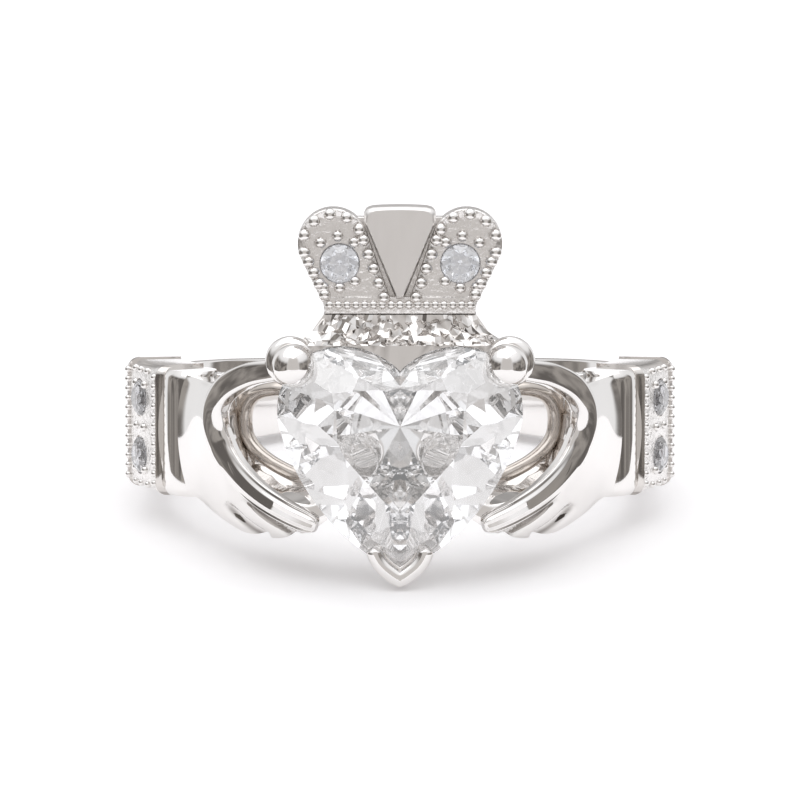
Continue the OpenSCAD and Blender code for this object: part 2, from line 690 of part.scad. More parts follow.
module metal() {
    difference() {
        union() {
            band();
            base_wall();
            both_sides() {
                cuff();
                rib();
                hand();
                ball_prong();
            }
            v_prong();
            gallery();
            saddle();
            crown();
        }
        finger_bore();
        heart_shape(stone_gap);
        for (side = [-1, 1]) {
            at_crown_stone(side) round_seat(crown_stone_d);
            for (level = [-1, 1]) at_cuff_stone(side, level) round_seat(cuff_stone_d);
        }
    }
}

module ring_metal() {
    color("silver") lying() metal();
}

module heart_stone() {
    color("aliceblue") lying() heart_shape(0);
}

module crown_stone(side) {
    color("aliceblue") lying() at_crown_stone(side) round_stone(crown_stone_d);
}

module cuff_stone(side, level) {
    color("aliceblue") lying() at_cuff_stone(side, level) round_stone(cuff_stone_d);
}

ring_metal();
heart_stone();
crown_stone(-1);  // crown_stone_left
crown_stone(1);  // crown_stone_right
cuff_stone(-1, 1);  // cuff_stone_left_upper
cuff_stone(-1, -1);  // cuff_stone_left_lower
cuff_stone(1, 1);  // cuff_stone_right_upper
cuff_stone(1, -1);  // cuff_stone_right_lower
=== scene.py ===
import math
import bmesh
import bpy
import numpy as np
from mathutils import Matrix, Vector
from mathutils.geometry import delaunay_2d_cdt


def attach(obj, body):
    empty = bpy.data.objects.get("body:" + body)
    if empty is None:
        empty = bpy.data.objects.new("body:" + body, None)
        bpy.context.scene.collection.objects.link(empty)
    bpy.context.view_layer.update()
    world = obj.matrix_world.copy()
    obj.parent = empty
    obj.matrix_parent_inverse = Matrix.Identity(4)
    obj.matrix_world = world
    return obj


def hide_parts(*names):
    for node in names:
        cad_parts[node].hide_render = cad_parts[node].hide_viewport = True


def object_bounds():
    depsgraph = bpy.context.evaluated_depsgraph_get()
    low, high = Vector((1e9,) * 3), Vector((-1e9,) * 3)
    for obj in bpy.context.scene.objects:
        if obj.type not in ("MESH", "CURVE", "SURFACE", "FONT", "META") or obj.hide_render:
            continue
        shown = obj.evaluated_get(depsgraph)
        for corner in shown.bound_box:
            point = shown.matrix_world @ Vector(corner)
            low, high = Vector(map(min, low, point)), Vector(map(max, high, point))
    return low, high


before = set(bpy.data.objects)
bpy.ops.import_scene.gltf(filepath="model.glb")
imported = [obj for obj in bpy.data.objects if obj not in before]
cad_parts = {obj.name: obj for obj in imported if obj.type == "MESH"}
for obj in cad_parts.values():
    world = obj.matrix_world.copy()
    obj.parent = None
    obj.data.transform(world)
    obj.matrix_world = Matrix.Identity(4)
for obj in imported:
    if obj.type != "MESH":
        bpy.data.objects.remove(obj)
cad_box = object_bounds()

# Sizes of the ring in mm, drawn upright: the finger's axis along Z, the heart towards -Y
FINGER_R = 8.4
BAND_BACK_T, BAND_SIDE_T = 1.5, 1.75
BAND_BACK_W, BAND_SIDE_W = 2.3, 4.0
CUFF_ANGLE, CUFF_SPAN, CUFF_T, CUFF_W = 70.5, 19.0, 2.1, 4.8
CUFF_STONE_D, CUFF_STONE_PITCH = 1.35, 2.15
RIB_ANGLE, RIB_R, RIB_W = 53.5, 0.85, 4.7
WRIST_T, HAND_UP, HAND_DOWN, HAND_BULGE = 1.7, 2.2, 3.5, 0.6
THUMB_R, RIM_R = 0.38, 0.27
HEART_W, HEART_H, HEART_TOP, HEART_CLEFT = 9.0, 8.3, 3.82, 0.94
HEART_CROWN, HEART_PAVILION, HEART_GIRDLE, CULET_CLEAR = 1.15, 3.2, 0.16, 0.25
BALL_R, V_ARM, V_LEN, V_SLOPE = 0.8, 0.46, 2.0, 48
CROWN_TOP, CROWN_HALF_W, LOBE_ROUND_R, CROWN_BASE_HALF_W = 8.83, 3.75, 1.3, 2.85
CROWN_T, PANEL_PROUD, PANEL_HALF_W, GROOVE_W = 1.15, 0.18, 1.32, 0.28
CROWN_STONE_D, LOBE_BEAD_R, FINE_BEAD_R, PRONG_BEAD_R = 1.4, 0.18, 0.14, 0.22
CROWN_OUT, CROWN_H, STRIP_H, STRIP_OVERLAP = 2.55, 3.45, 0.42, 0.2
STONE_GAP, BASE_T, CUFF_FIELD_DEEP = 0.06, 0.75, 0.1

HEART_TIP = HEART_TOP - HEART_H
HEART_C = np.array([0.0, HEART_TOP - HEART_H * 0.36])
GIRDLE_Y = -(FINGER_R + CULET_CLEAR + HEART_PAVILION + HEART_GIRDLE / 2)
CUFF_R = FINGER_R + CUFF_T
CUFF_FIELD_R = CUFF_R - CUFF_FIELD_DEEP
V_FRONT_Y, V_BEVEL = GIRDLE_Y - 0.5, 0.07
V_POINT = HEART_TIP - STONE_GAP - V_ARM
CROWN_FRONT_Y = -(FINGER_R + CROWN_OUT)
CROWN_BACK_Y = CROWN_FRONT_Y + CROWN_T
CROWN_BASE_Z = CROWN_TOP - CROWN_H
BALL = np.array([HEART_W * 0.433, GIRDLE_Y - 0.35, HEART_TOP - 0.62])


def band_half_w(angle):
    return (BAND_BACK_W + (BAND_SIDE_W - BAND_BACK_W) * angle / 90) / 2


# Rest: the ring tips until the V prong's point and the band's back edge are level
BAND_EDGE = [((FINGER_R + BAND_BACK_T) * math.cos(math.radians(a)), band_half_w(a)) for a in range(0, 90, 8)]
TILT = min(math.atan2(-z - V_POINT, y - V_FRONT_Y - V_BEVEL) for y, z in BAND_EDGE)


# Geometry helpers: a part is (points, faces), with points in upright mm
def lying(points):
    x, y, z = np.asarray(points, float).T
    c, s = math.cos(TILT), math.sin(TILT)
    return 0.001 * np.stack([x, y * c + z * s, z * c - y * s], axis=1)


def upright(points):
    x, y, z = 1000 * np.asarray(points, float).T
    c, s = math.cos(TILT), math.sin(TILT)
    return np.stack([x, y * c - z * s, z * c + y * s], axis=1)


def unit(v):
    return v / np.linalg.norm(v, axis=-1, keepdims=True)


def mix(a, b, t):
    return a + (b - a) * t


def smooth_line(points, per):
    """A finer line through the same points, whatever each point holds."""
    p = np.asarray(points, float)
    q = np.concatenate([[2 * p[0] - p[1]], p, [2 * p[-1] - p[-2]]])
    out = []
    for a, b, c, d in zip(q, q[1:], q[2:], q[3:]):
        for t in np.arange(per) / per:
            square, cube = 2 * a - 5 * b + 4 * c - d, 3 * b - a - 3 * c + d
            out.append(0.5 * (2 * b + (c - a) * t + square * t**2 + cube * t**3))
    return np.array(out + [p[-1]])


def bands(spans, rows, n):
    """The faces between rings of n points, from each ring to the next."""
    return [(i * n + j, i * n + (j + 1) % n, (i + 1) % rows * n + (j + 1) % n, (i + 1) % rows * n + j)
            for i in range(spans) for j in range(n)]


def loft(rings):
    """A closed skin over rings that have the same count of points."""
    rings = np.asarray(rings, float)
    m, n = rings.shape[:2]
    faces = bands(m - 1, m, n)
    points = np.concatenate([rings.reshape(-1, 3), [rings[0].mean(axis=0), rings[-1].mean(axis=0)]])
    for base, centre in ((0, m * n), ((m - 1) * n, m * n + 1)):
        faces += [(base + j, base + (j + 1) % n, centre) for j in range(n)]
    return points, faces


def closed_loft(rings):
    """A closed skin over rings that come back to the first."""
    rings = np.asarray(rings, float)
    m, n = rings.shape[:2]
    return rings.reshape(-1, 3), bands(m, m, n)


def along_path(path):
    """A path with its side ways: across it, and away from the finger."""
    path = np.asarray(path, float)
    along = unit(np.gradient(path, axis=0))
    across = unit(np.cross(path * [1, 1, 0], along))
    return path, across, np.cross(along, across)


def tube(path, radii, sides=24):
    path, across, up = along_path(path)
    a = np.linspace(0, 2 * math.pi, sides, endpoint=False)
    return loft([p + r * (np.outer(np.cos(a), x) + np.outer(np.sin(a), u))
                 for p, r, x, u in zip(path, radii, across, up)])


# The ribbon's face: degrees it looks up, the most it is turned in radians, and the points it turns over
FACE_UP, FACE_TURN, FACE_EASE = 4, 0.26, 15


def ribbon(path, widths, heights, ripples, power=5.0, sides=96):
    """A tube with a flattened section, its broad face turned away from the finger and rippled along."""
    path, across, up = along_path(path)
    reach = np.hypot(up[:, 2], across[:, 2])
    turn = np.arccos(np.clip(math.sin(math.radians(FACE_UP)) / reach, -1, 1))
    middle = np.arctan2(across[:, 2], up[:, 2])
    turn = np.where(np.abs(middle - turn) < np.abs(middle + turn), middle - turn, middle + turn)
    turn = np.clip(turn, -FACE_TURN, FACE_TURN)
    ease = np.hanning(2 * FACE_EASE + 1) / FACE_EASE
    turn = np.convolve(np.pad(turn, FACE_EASE, mode="edge"), ease, mode="valid")[:, None]
    across, up = across * np.cos(turn) - up * np.sin(turn), up * np.cos(turn) + across * np.sin(turn)
    a = np.linspace(0, 2 * math.pi, sides, endpoint=False)
    flat = np.sign(np.cos(a)) * np.abs(np.cos(a)) ** (2 / power)
    tall = np.sign(np.sin(a)) * np.abs(np.sin(a)) ** (2 / power)
    wave = np.where(np.sin(a) > 0, 0.5 - 0.5 * np.cos(3 * math.pi * (flat + 1)), 0)
    dome = 0.12 * (np.sin(a) > 0) * (1 - flat**2)
    return loft([p + w * np.outer(flat, x) + np.outer(h * tall + h * dome - r * wave, u)
                 for p, w, h, r, x, u in zip(path, widths, heights, ripples, across, up)])


def turned(profile, foot, axis, sides=40):
    """A profile of (radius, height) pairs turned about an axis that starts at foot."""
    axis = unit(np.asarray(axis, float))
    side = unit(np.cross(axis, [0.3, 0.2, 1.0]))
    other = np.cross(axis, side)
    a = np.linspace(0, 2 * math.pi, sides, endpoint=False)
    spokes = np.outer(np.cos(a), side) + np.outer(np.sin(a), other)
    return loft([np.asarray(foot) + h * axis + r * spokes for r, h in profile])


def ball(centre, r, rings=10, sides=16):
    a = np.linspace(0.02, math.pi - 0.02, rings)
    return turned([(r * math.sin(t), -r * math.cos(t)) for t in a], centre, (0, -1, 0), sides)


def arc(centre, r, start, end, steps):
    a = np.radians(np.linspace(start, end, steps + 1))
    return np.stack([centre[0] + r * np.cos(a), centre[1] + r * np.sin(a)], axis=1)


def heading(angle):
    """The flat way at an angle in degrees."""
    return np.array([math.cos(math.radians(angle)), math.sin(math.radians(angle))])


def at_angle(angle, r, z):
    a = math.radians(angle)
    return np.array([r * math.sin(a), -r * math.cos(a), z])


def in_front(p, r):
    return np.array([p[0], -math.sqrt(r * r - p[0] ** 2), p[1]])


def mirrored(part):
    points, faces = part
    return points * [-1, 1, 1], [f[::-1] for f in faces]


def as_drawn(part):
    return part


SIDES = ((-1, "left", mirrored), (1, "right", as_drawn))


def merged(parts):
    points, faces, base = [], [], 0
    for p, f in parts:
        points.append(p)
        faces += [tuple(i + base for i in face) for face in f]
        base += len(p)
    return np.concatenate(points), faces


def inset(outline, d):
    """A closed outline that turns left, moved inwards by d."""
    p = np.asarray(outline, float)
    before, after = unit(p - np.roll(p, 1, axis=0)), unit(np.roll(p, -1, axis=0) - p)
    n = unit(np.stack([-(before + after)[:, 1], (before + after)[:, 0]], axis=1))
    lean = np.clip((n * np.stack([-after[:, 1], after[:, 0]], axis=1)).sum(axis=1), 0.5, 1)
    return p + n * (d / lean)[:, None]


def inside(points, outline):
    x, y = points[:, 0], points[:, 1]
    hit = np.zeros(len(points), bool)
    for (ax, ay), (bx, by) in zip(outline, np.roll(outline, -1, axis=0)):
        if ay != by:
            hit ^= ((ay > y) != (by > y)) & (x < (bx - ax) * (y - ay) / (by - ay) + ax)
    return hit


def gap_to(points, outline):
    """How far each point lies from a closed outline."""
    a = np.asarray(outline, float)
    d = np.roll(a, -1, axis=0) - a
    t = np.clip(((points[:, None] - a) * d).sum(axis=2) / (d * d).sum(axis=1), 0, 1)
    return np.linalg.norm(points[:, None] - a - t[..., None] * d, axis=2).min(axis=1)


def filled(outline, holes, spacing):
    """Triangles that fill an outline and leave its holes open, with points at a spacing between."""
    loops = [np.asarray(outline, float)] + [np.asarray(h, float) for h in holes]
    lo, hi = loops[0].min(axis=0), loops[0].max(axis=0)
    gx, gy = np.meshgrid(np.arange(lo[0], hi[0], spacing), np.arange(lo[1], hi[1], spacing))
    gx[1::2] += spacing / 2
    grid = np.stack([gx.ravel(), gy.ravel()], axis=1)
    keep = inside(grid, loops[0])
    for loop in loops:
        keep &= gap_to(grid, loop) > spacing * 0.45
    for hole in loops[1:]:
        keep &= ~inside(grid, hole)
    points, edges = list(loops[0]), []
    for k, loop in enumerate(loops):
        base = len(points) - len(loop) if k == 0 else len(points)
        if k:
            points += list(loop)
        edges += [(base + i, base + (i + 1) % len(loop)) for i in range(len(loop))]
    points += list(grid[keep])
    found = delaunay_2d_cdt([Vector(p) for p in points], edges, [], 1, 1e-7)
    flat, tris = np.array([tuple(v) for v in found[0]]), np.array([tuple(t) for t in found[2]])
    for hole in loops[1:]:
        tris = tris[~inside(flat[tris].mean(axis=1), hole)]
    return flat, [tuple(int(i) for i in t) for t in tris]


def standing(flat, y):
    """Points drawn as (x, z) set up at a depth y."""
    return np.stack([flat[:, 0], np.full(len(flat), y), flat[:, 1]], axis=1)


def plate(outline, front, back, bevel=0.06, spacing=0.3, relief=None):
    """A solid with a flat outline seen from the front, its front edge rounded over."""
    outline = np.asarray(outline, float)
    rows = [(inset(outline, bevel - s), front + d) for s, d in
            [(0, 0), (bevel * 0.5, bevel * 0.13), (bevel * 0.87, bevel * 0.5), (bevel, bevel)]]
    rows.append((outline, back))
    rings = [standing(p, y) for p, y in rows]
    sides = bands(len(rings) - 1, len(rings), len(outline))
    flat, tris = filled(rows[0][0], [], spacing)
    sunk = relief(flat) if relief else 0
    flat_back, tris_back = filled(outline, [], 1.0)
    return merged([(np.concatenate(rings), sides), (standing(flat, front + sunk), tris),
                   (standing(flat_back, back), tris_back)])


# Objects
WELD = 1e-7


def mesh_of(name, parts):
    points, faces = merged(parts)
    mesh = bpy.data.meshes.new(name)
    mesh.from_pydata(lying(points), [], faces)
    bm = bmesh.new()
    bm.from_mesh(mesh)
    bmesh.ops.remove_doubles(bm, verts=bm.verts, dist=WELD)
    bmesh.ops.recalc_face_normals(bm, faces=bm.faces)
    bm.to_mesh(mesh)
    bm.free()
    return mesh


def placed(name, data):
    obj = bpy.data.objects.new(name, data)
    bpy.context.scene.collection.objects.link(obj)
    return obj


def smooth(mesh, sharp):
    mesh.shade_smooth()
    mesh.set_sharp_from_angle(angle=math.radians(sharp))


def make(name, parts, material, sharp=38, node="ring_metal"):
    """A piece that rides on the ring and hides a CAD node in its place; sharp is the angle that shows as an edge.
    """
    mesh = mesh_of(name, parts)
    if sharp:
        smooth(mesh, sharp)
    mesh.materials.append(material)
    obj = placed(name, mesh)
    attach(obj, "root")
    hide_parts(node)
    return obj


def carve(obj, cutter_parts, sharp=38):
    """Cuts the shape of some closed parts out of an object."""
    cutter = placed("cutter", mesh_of("cutter", cutter_parts))
    mod = obj.modifiers.new("carve", "BOOLEAN")
    mod.operation, mod.solver, mod.object = "DIFFERENCE", "EXACT", cutter
    mod.use_self = True
    done = bpy.data.meshes.new_from_object(obj.evaluated_get(bpy.context.evaluated_depsgraph_get()))
    obj.modifiers.clear()
    obj.data = done
    bpy.data.objects.remove(cutter)
    smooth(done, sharp)


def paint_darker(obj, share):
    """Paints the metal's colour darker where share, a function of the upright points, is near 1: painted shade in
    the hand's grooves, darker patches on the saddle.
    """
    places = np.array([tuple(v.co) for v in obj.data.vertices])
    obj.data.attributes.new("hollow", "FLOAT", "POINT").data.foreach_set("value", share(upright(places)))


# Materials
def node_of(tree, kind, **inputs):
    node = tree.nodes.new(kind)
    for key, value in inputs.items():
        node.inputs[key.replace("_", " ")].default_value = value
    return node


def plug(tree, value, socket):
    if isinstance(value, (int, float)):
        socket.default_value = value
    else:
        tree.links.new(value, socket)


def sum_of(tree, operation, a, b=0.0):
    node = tree.nodes.new("ShaderNodeMath")
    node.operation = operation
    plug(tree, a, node.inputs[0])
    plug(tree, b, node.inputs[1])
    return node.outputs[0]


def step(tree, value, low, high):
    """0 below low and 1 above high, or the other way round if high is the smaller."""
    node = tree.nodes.new("ShaderNodeMapRange")
    node.interpolation_type = "SMOOTHSTEP"
    flip = high < low
    plug(tree, value, node.inputs["Value"])
    node.inputs["From Min"].default_value = min(low, high)
    node.inputs["From Max"].default_value = max(low, high)
    node.inputs["To Min"].default_value = 1.0 if flip else 0.0
    node.inputs["To Max"].default_value = 0.0 if flip else 1.0
    return node.outputs["Result"]


def blend(tree, factor, a, b):
    node = tree.nodes.new("ShaderNodeMix")
    node.data_type = "RGBA"
    plug(tree, factor, node.inputs[0])
    for value, socket in ((a, node.inputs[6]), (b, node.inputs[7])):
        if isinstance(value, tuple):
            socket.default_value = (*value, 1)
        else:
            tree.links.new(value, socket)
    return node.outputs[2]


def new_material(name):
    material = bpy.data.materials.new(name)
    material.use_nodes = True
    return material, material.node_tree, material.node_tree.nodes["Principled BSDF"]


def two_tone(tree, scale, detail, low, high, stretch=(1, 1, 1)):
    """A noise over the object, and a colour that follows it from low to high."""
    where = tree.nodes.new("ShaderNodeTexCoord")
    scaled = node_of(tree, "ShaderNodeMapping", Scale=stretch)
    tree.links.new(where.outputs["Object"], scaled.inputs["Vector"])
    grain = node_of(tree, "ShaderNodeTexNoise", Scale=scale, Detail=detail)
    tree.links.new(scaled.outputs["Vector"], grain.inputs["Vector"])
    tint = tree.nodes.new("ShaderNodeValToRGB")
    for end, colour in zip(tint.color_ramp.elements, (low, high)):
        end.color = (*colour, 1)
    tree.links.new(grain.outputs["Fac"], tint.inputs["Fac"])
    return grain.outputs["Fac"], tint.outputs["Color"]


# GOLD_HOLLOW is the colour the metal is painted towards where it is darkened: painted shade in the hand's
# grooves, darker patches on the saddle.
GOLD_LOW, GOLD_HIGH, GOLD_HOLLOW = np.array([(0.80, 0.782, 0.765), (0.87, 0.852, 0.838), (0.20, 0.18, 0.165)])


def metal(name, rough, rough_swing, grain_scale, grain_depth, stretch=(1, 1, 1), tone=(1, 1, 1)):
    material, tree, shader = new_material(name)
    shader.inputs["Metallic"].default_value = 1.0
    grain, tint = two_tone(tree, grain_scale, 3.0, GOLD_LOW * tone, GOLD_HIGH * tone, stretch)
    wear = node_of(tree, "ShaderNodeMapRange", To_Min=rough - rough_swing, To_Max=rough + rough_swing)
    tree.links.new(grain, wear.inputs["Value"])
    tree.links.new(wear.outputs["Result"], shader.inputs["Roughness"])
    # Painted shade: the colour goes towards GOLD_HOLLOW where a piece's hollow attribute is set.
    hollow = tree.nodes.new("ShaderNodeAttribute")
    hollow.attribute_name = "hollow"
    tree.links.new(blend(tree, hollow.outputs["Fac"], tint, tuple(GOLD_HOLLOW)), shader.inputs["Base Color"])
    bump = node_of(tree, "ShaderNodeBump", Strength=1.0, Distance=grain_depth)
    tree.links.new(grain, bump.inputs["Height"])
    tree.links.new(bump.outputs["Normal"], shader.inputs["Normal"])
    return material


def gem(name, tint_low, tint_high, mottle_scale, glow):
    material, tree, shader = new_material(name)
    # The glow is painted light: the stone shines a little of its own.
    for socket, value in (("Transmission Weight", 1.0), ("Roughness", 0.0), ("IOR", 2.42),
                          ("Emission Color", (0.94, 0.97, 1, 1)), ("Emission Strength", glow)):
        shader.inputs[socket].default_value = value
    # Base colour from a noise: in the small stones its dark end paints dark mottles that stand in for dark facet
    # reflections.
    tint = two_tone(tree, mottle_scale, 2.0, tint_low, tint_high)[1]
    tree.links.new(tint, shader.inputs["Base Color"])
    return material


POLISHED = metal("polished_white_gold", 0.06, 0.02, 700, 0.000002)
SATIN = metal("satin_white_gold", 0.34, 0.05, 2600, 0.000006, (1, 1, 0.12))
GRAINED = metal("grained_white_gold", 0.26, 0.08, 4600, 0.00005)
WORN = metal("worn_white_gold", 0.2, 0.1, 900, 0.00004, (1, 1, 1), (0.72, 0.68, 0.64))
# Both stones glow a little: painted light.
CLEAR = gem("clear_stone_fire", (0.97, 0.98, 1.0), (1.0, 1.0, 1.0), 400, 0.008)
# The small stones' dark mottles are painted dark facet reflections.
SMALL = gem("small_stone_fire", (0.5, 0.54, 0.62), (1.0, 1.0, 1.0), 5200, 0.003)


# Stones: a convex solid cut out of a box by planes, as a cutter grinds facets
def ground(box, planes):
    """Faces of a box after each plane (normal, distance) has cut off what lies beyond it."""
    lo, hi = np.asarray(box, float)
    corner = [np.array([x, y, z]) for x in (lo[0], hi[0]) for y in (lo[1], hi[1]) for z in (lo[2], hi[2])]
    faces = [[corner[i] for i in f] for f in
             ((0, 1, 3, 2), (4, 6, 7, 5), (0, 4, 5, 1), (2, 3, 7, 6), (0, 2, 6, 4), (1, 5, 7, 3))]
    for normal, distance in planes:
        normal = np.asarray(normal, float)
        kept, rim = [], []
        for face in faces:
            side = [float(p @ normal) - distance for p in face]
            if max(side) <= 1e-9:
                kept.append(face)
                continue
            new = []
            for i, p in enumerate(face):
                q, sp, sq = face[(i + 1) % len(face)], side[i], side[(i + 1) % len(face)]
                if sp <= 0:
                    new.append(p)
                if (sp < 0 < sq) or (sq < 0 < sp):
                    new.append(p + (q - p) * (sp / (sp - sq)))
            rim += [p for p in new if abs(float(p @ normal) - distance) < 1e-8]
            if len(new) > 2:
                kept.append(new)
        unique = []
        for p in rim:
            if all(np.linalg.norm(p - q) > 1e-7 for q in unique):
                unique.append(p)
        if len(unique) > 2:
            middle = np.mean(unique, axis=0)
            x = unit(unique[0] - middle)
            y = np.cross(unit(normal), x)
            unique.sort(key=lambda p: math.atan2(float((p - middle) @ y), float((p - middle) @ x)))
            kept.append(unique)
        faces = kept
    return faces


def as_part(faces):
    points = [p for face in faces for p in face]
    made, base = [], 0
    for face in faces:
        made.append(tuple(range(base, base + len(face))))
        base += len(face)
    return np.array(points), made


def facet(direction, slope, touch, height):
    """The plane that leans by slope from upright, facing a flat direction, through a point."""
    s = math.radians(slope)
    n = np.array([*(heading(direction) * math.sin(abs(s))), math.copysign(math.cos(s), slope)])
    return n, float(n @ np.array([touch[0], touch[1], height]))


# A round stone's shares of its width: half girdle, crown, pavilion and half table
ROUND_GIRDLE, ROUND_CROWN, ROUND_DEEP, ROUND_TABLE = 0.015, 0.15, 0.42, 0.28
ROUND_STAR_LEAN, ROUND_RISE_LEAN, ROUND_DROP_LEAN, ROUND_IN = 0.62, 1.2, 1.035, 0.998


def round_brilliant(d):
    """A round brilliant with its girdle at z = 0 and its table towards +Z."""
    r, g, crown, deep, table = d / 2, ROUND_GIRDLE * d, ROUND_CROWN * d, ROUND_DEEP * d, ROUND_TABLE * d
    rise = math.degrees(math.atan2(crown, r - table))
    drop = math.degrees(math.atan2(deep, r))
    planes = [((0, 0, 1), g + crown), ((0, 0, -1), g + deep * 0.99)]
    planes += [((*heading(7.5 * k), 0), r) for k in range(48)]
    for a in range(0, 360, 45):
        planes.append(facet(a, rise, r * heading(a), g))
        planes.append(facet(a, -drop, r * heading(a), -g))
        star = a + 22.5
        planes.append(facet(star, rise * ROUND_STAR_LEAN, table * heading(22.5)[0] * heading(star), g + crown))
        for half in (a - 11.25, a + 11.25):
            planes.append(facet(half, rise * ROUND_RISE_LEAN, r * ROUND_IN * heading(half), g))
            planes.append(facet(half, -drop * ROUND_DROP_LEAN, r * ROUND_IN * heading(half), -g))
    return as_part(ground([(-r - 1,) * 3, (r + 1,) * 3], planes))


# The heart's outline, seen from the front as (x, z): a side arc, a lobe and a cleft arc
LOBE_TURN, LOBE_X = 14, HEART_W * 0.244
LOBE_R = HEART_W / 2 - LOBE_X
LOBE_C = np.array([LOBE_X, HEART_TOP - LOBE_R])
CLEFT_R = (LOBE_X**2 + HEART_CLEFT**2) / (2 * HEART_CLEFT)
CLEFT_C = np.array([LOBE_X, HEART_TOP - CLEFT_R])
SIDE_NORMAL = heading(-LOBE_TURN)
LOBE_END = LOBE_C + LOBE_R * SIDE_NORMAL
TO_TIP = np.array([0, HEART_TIP]) - LOBE_END
SIDE_R = -(TO_TIP @ TO_TIP) / (2 * (TO_TIP @ SIDE_NORMAL))
SIDE_C = LOBE_END - SIDE_R * SIDE_NORMAL


def heart_edge(angle, grow=0.0):
    """The point of the right half's outline whose outward direction is at an angle."""
    n = heading(angle)
    if angle < -LOBE_TURN:
        return SIDE_C + (SIDE_R + grow) * n
    if angle <= 90:
        return LOBE_C + (LOBE_R + grow) * n
    return CLEFT_C + (CLEFT_R + grow) * n


def heart_ends(grow):
    """The outward directions at the tip and at the cleft."""
    return (-math.degrees(math.acos(-SIDE_C[0] / (SIDE_R + grow))),
            90 + math.degrees(math.asin(LOBE_X / (CLEFT_R + grow))))


def heart_outline(steps):
    tip, cleft = heart_ends(0)
    angles = np.concatenate([np.linspace(tip, -LOBE_TURN, steps, endpoint=False),
                             np.linspace(-LOBE_TURN, 90, steps, endpoint=False), np.linspace(90, cleft, steps)])
    half = np.array([heart_edge(a) for a in angles])
    return np.concatenate([half, (half * [-1, 1])[::-1][1:-1]])


# Outward directions of the facets on the heart's right half, tip first
CROWN_MAINS = [-58, -26, 20, 62, 108]
HEART_STARS = [-42, -2, 41, 85, 128]
CROWN_HALVES = [-63, -49, -36, -14, 6, 34, 50, 74, 94, 122]
PAVILION_MAINS = [-60, -34, 4, 40, 84, 124]
PAVILION_HALVES = [-63, -51, -42, -22, -8, 16, 28, 52, 70, 98, 112, 132]
TABLE_SHARE, STAR_LEAN, STAR_IN, CROWN_HALF_LEAN, PAVILION_HALF_LEAN = 0.54, 0.62, 0.95, 1.15, 1.12


def heart_planes(gap):
    """The facets of the heart's right half, x across, y up the heart and z towards the table."""
    top, crown, deep = HEART_GIRDLE / 2 + gap, HEART_CROWN + gap * 0.4, HEART_PAVILION + gap

    def reach(a):
        """How far the outline's tangent at an angle lies from the heart's centre."""
        return float(heading(a) @ (heart_edge(a, gap) - HEART_C))

    def rise(a):
        return math.degrees(math.atan2(crown, reach(a) * (1 - TABLE_SHARE)))

    def drop(a):
        return math.degrees(math.atan2(deep, reach(a)))

    def facets(angles, slope, lean, height):
        return [facet(a, slope(a) * lean, heart_edge(a, gap), height) for a in angles]

    tip, cleft = heart_ends(gap)
    planes = [((0, 0, 1), top + crown)]
    planes += [((*heading(a), 0), float(heading(a) @ heart_edge(a, gap)))
               for a in np.linspace(tip + 1, cleft - 1, 56)]
    planes += facets(CROWN_MAINS, rise, 1, top) + facets(CROWN_HALVES, rise, CROWN_HALF_LEAN, top)
    for a in HEART_STARS:
        spot = HEART_C + (heart_edge(a, gap) - HEART_C) * TABLE_SHARE * STAR_IN
        planes.append(facet(a, rise(a) * STAR_LEAN, spot, top + crown))
    planes += facets(PAVILION_MAINS, drop, -1, -top) + facets(PAVILION_HALVES, drop, -PAVILION_HALF_LEAN, -top)
    return planes


def heart_part(gap=0.0):
    faces = ground([(0, -9, -9), (9, 9, 9)], heart_planes(gap))
    half = as_part([f for f in faces if max(p[0] for p in f) > 1e-6])
    points, both = merged([half, mirrored(half)])
    return np.stack([points[:, 0], GIRDLE_Y - points[:, 2], points[:, 1]], axis=1), both


make("heart_cut", [heart_part()], CLEAR, 0, "heart_stone")


def stone_at(foot, out, d):
    """A round brilliant with its girdle's centre at foot and its table towards out."""
    points, faces = round_brilliant(d)
    out, up = unit(np.asarray(out, float)), np.array([0.0, 0, 1])
    side = np.cross(up, out)
    return np.asarray(foot) + points @ np.stack([side, up, out]), faces


CROWN_STONE_AT = (CROWN_HALF_W * 0.59, CROWN_TOP - 2.02)
for side, word, _ in SIDES:
    foot = (side * CROWN_STONE_AT[0], CROWN_FRONT_Y, CROWN_STONE_AT[1])
    make(f"crown_brilliant_{word}", [stone_at(foot, (0, -1, 0), CROWN_STONE_D)],
         SMALL, 0, f"crown_stone_{word}")
    for level, where in ((1, "upper"), (-1, "lower")):
        foot = at_angle(side * CUFF_ANGLE, CUFF_FIELD_R, level * CUFF_STONE_PITCH / 2)
        make(f"cuff_brilliant_{word}_{where}", [stone_at(foot, foot * [1, 1, 0], CUFF_STONE_D)],
             SMALL, 0, f"cuff_stone_{word}_{where}")


# Band: domed outside, with softly rounded edges
def band_ring(back_angle):
    a = math.radians(back_angle)
    out = np.array([math.sin(a), math.cos(a), 0])
    half = band_half_w(abs(back_angle))
    shift, big = BAND_SIDE_T - BAND_BACK_T, FINGER_R + BAND_SIDE_T
    lean = -shift * math.cos(a)

    def outer(z):
        return lean + math.sqrt(lean**2 - shift**2 + big**2 - z**2)

    edge, inner_edge = 0.2, 0.1
    profile = list(arc((FINGER_R + inner_edge, inner_edge - half), inner_edge, 180, 270, 3))
    corner = outer(half - edge) - edge
    profile += list(arc((corner, edge - half), edge, -90, -10, 5))
    profile += [(outer(z), z) for z in np.linspace(edge * 0.8 - half, half - edge * 0.8, 15)[1:-1]]
    profile += list(arc((corner, half - edge), edge, 10, 90, 5))
    profile += list(arc((FINGER_R + inner_edge, half - inner_edge), inner_edge, 90, 180, 3))
    return [out * r + [0, 0, z] for r, z in profile]


BAND_END = 180 - RIB_ANGLE - 1
make("ring_band", [loft([band_ring(a) for a in np.linspace(-BAND_END, BAND_END, 170)])], POLISHED)


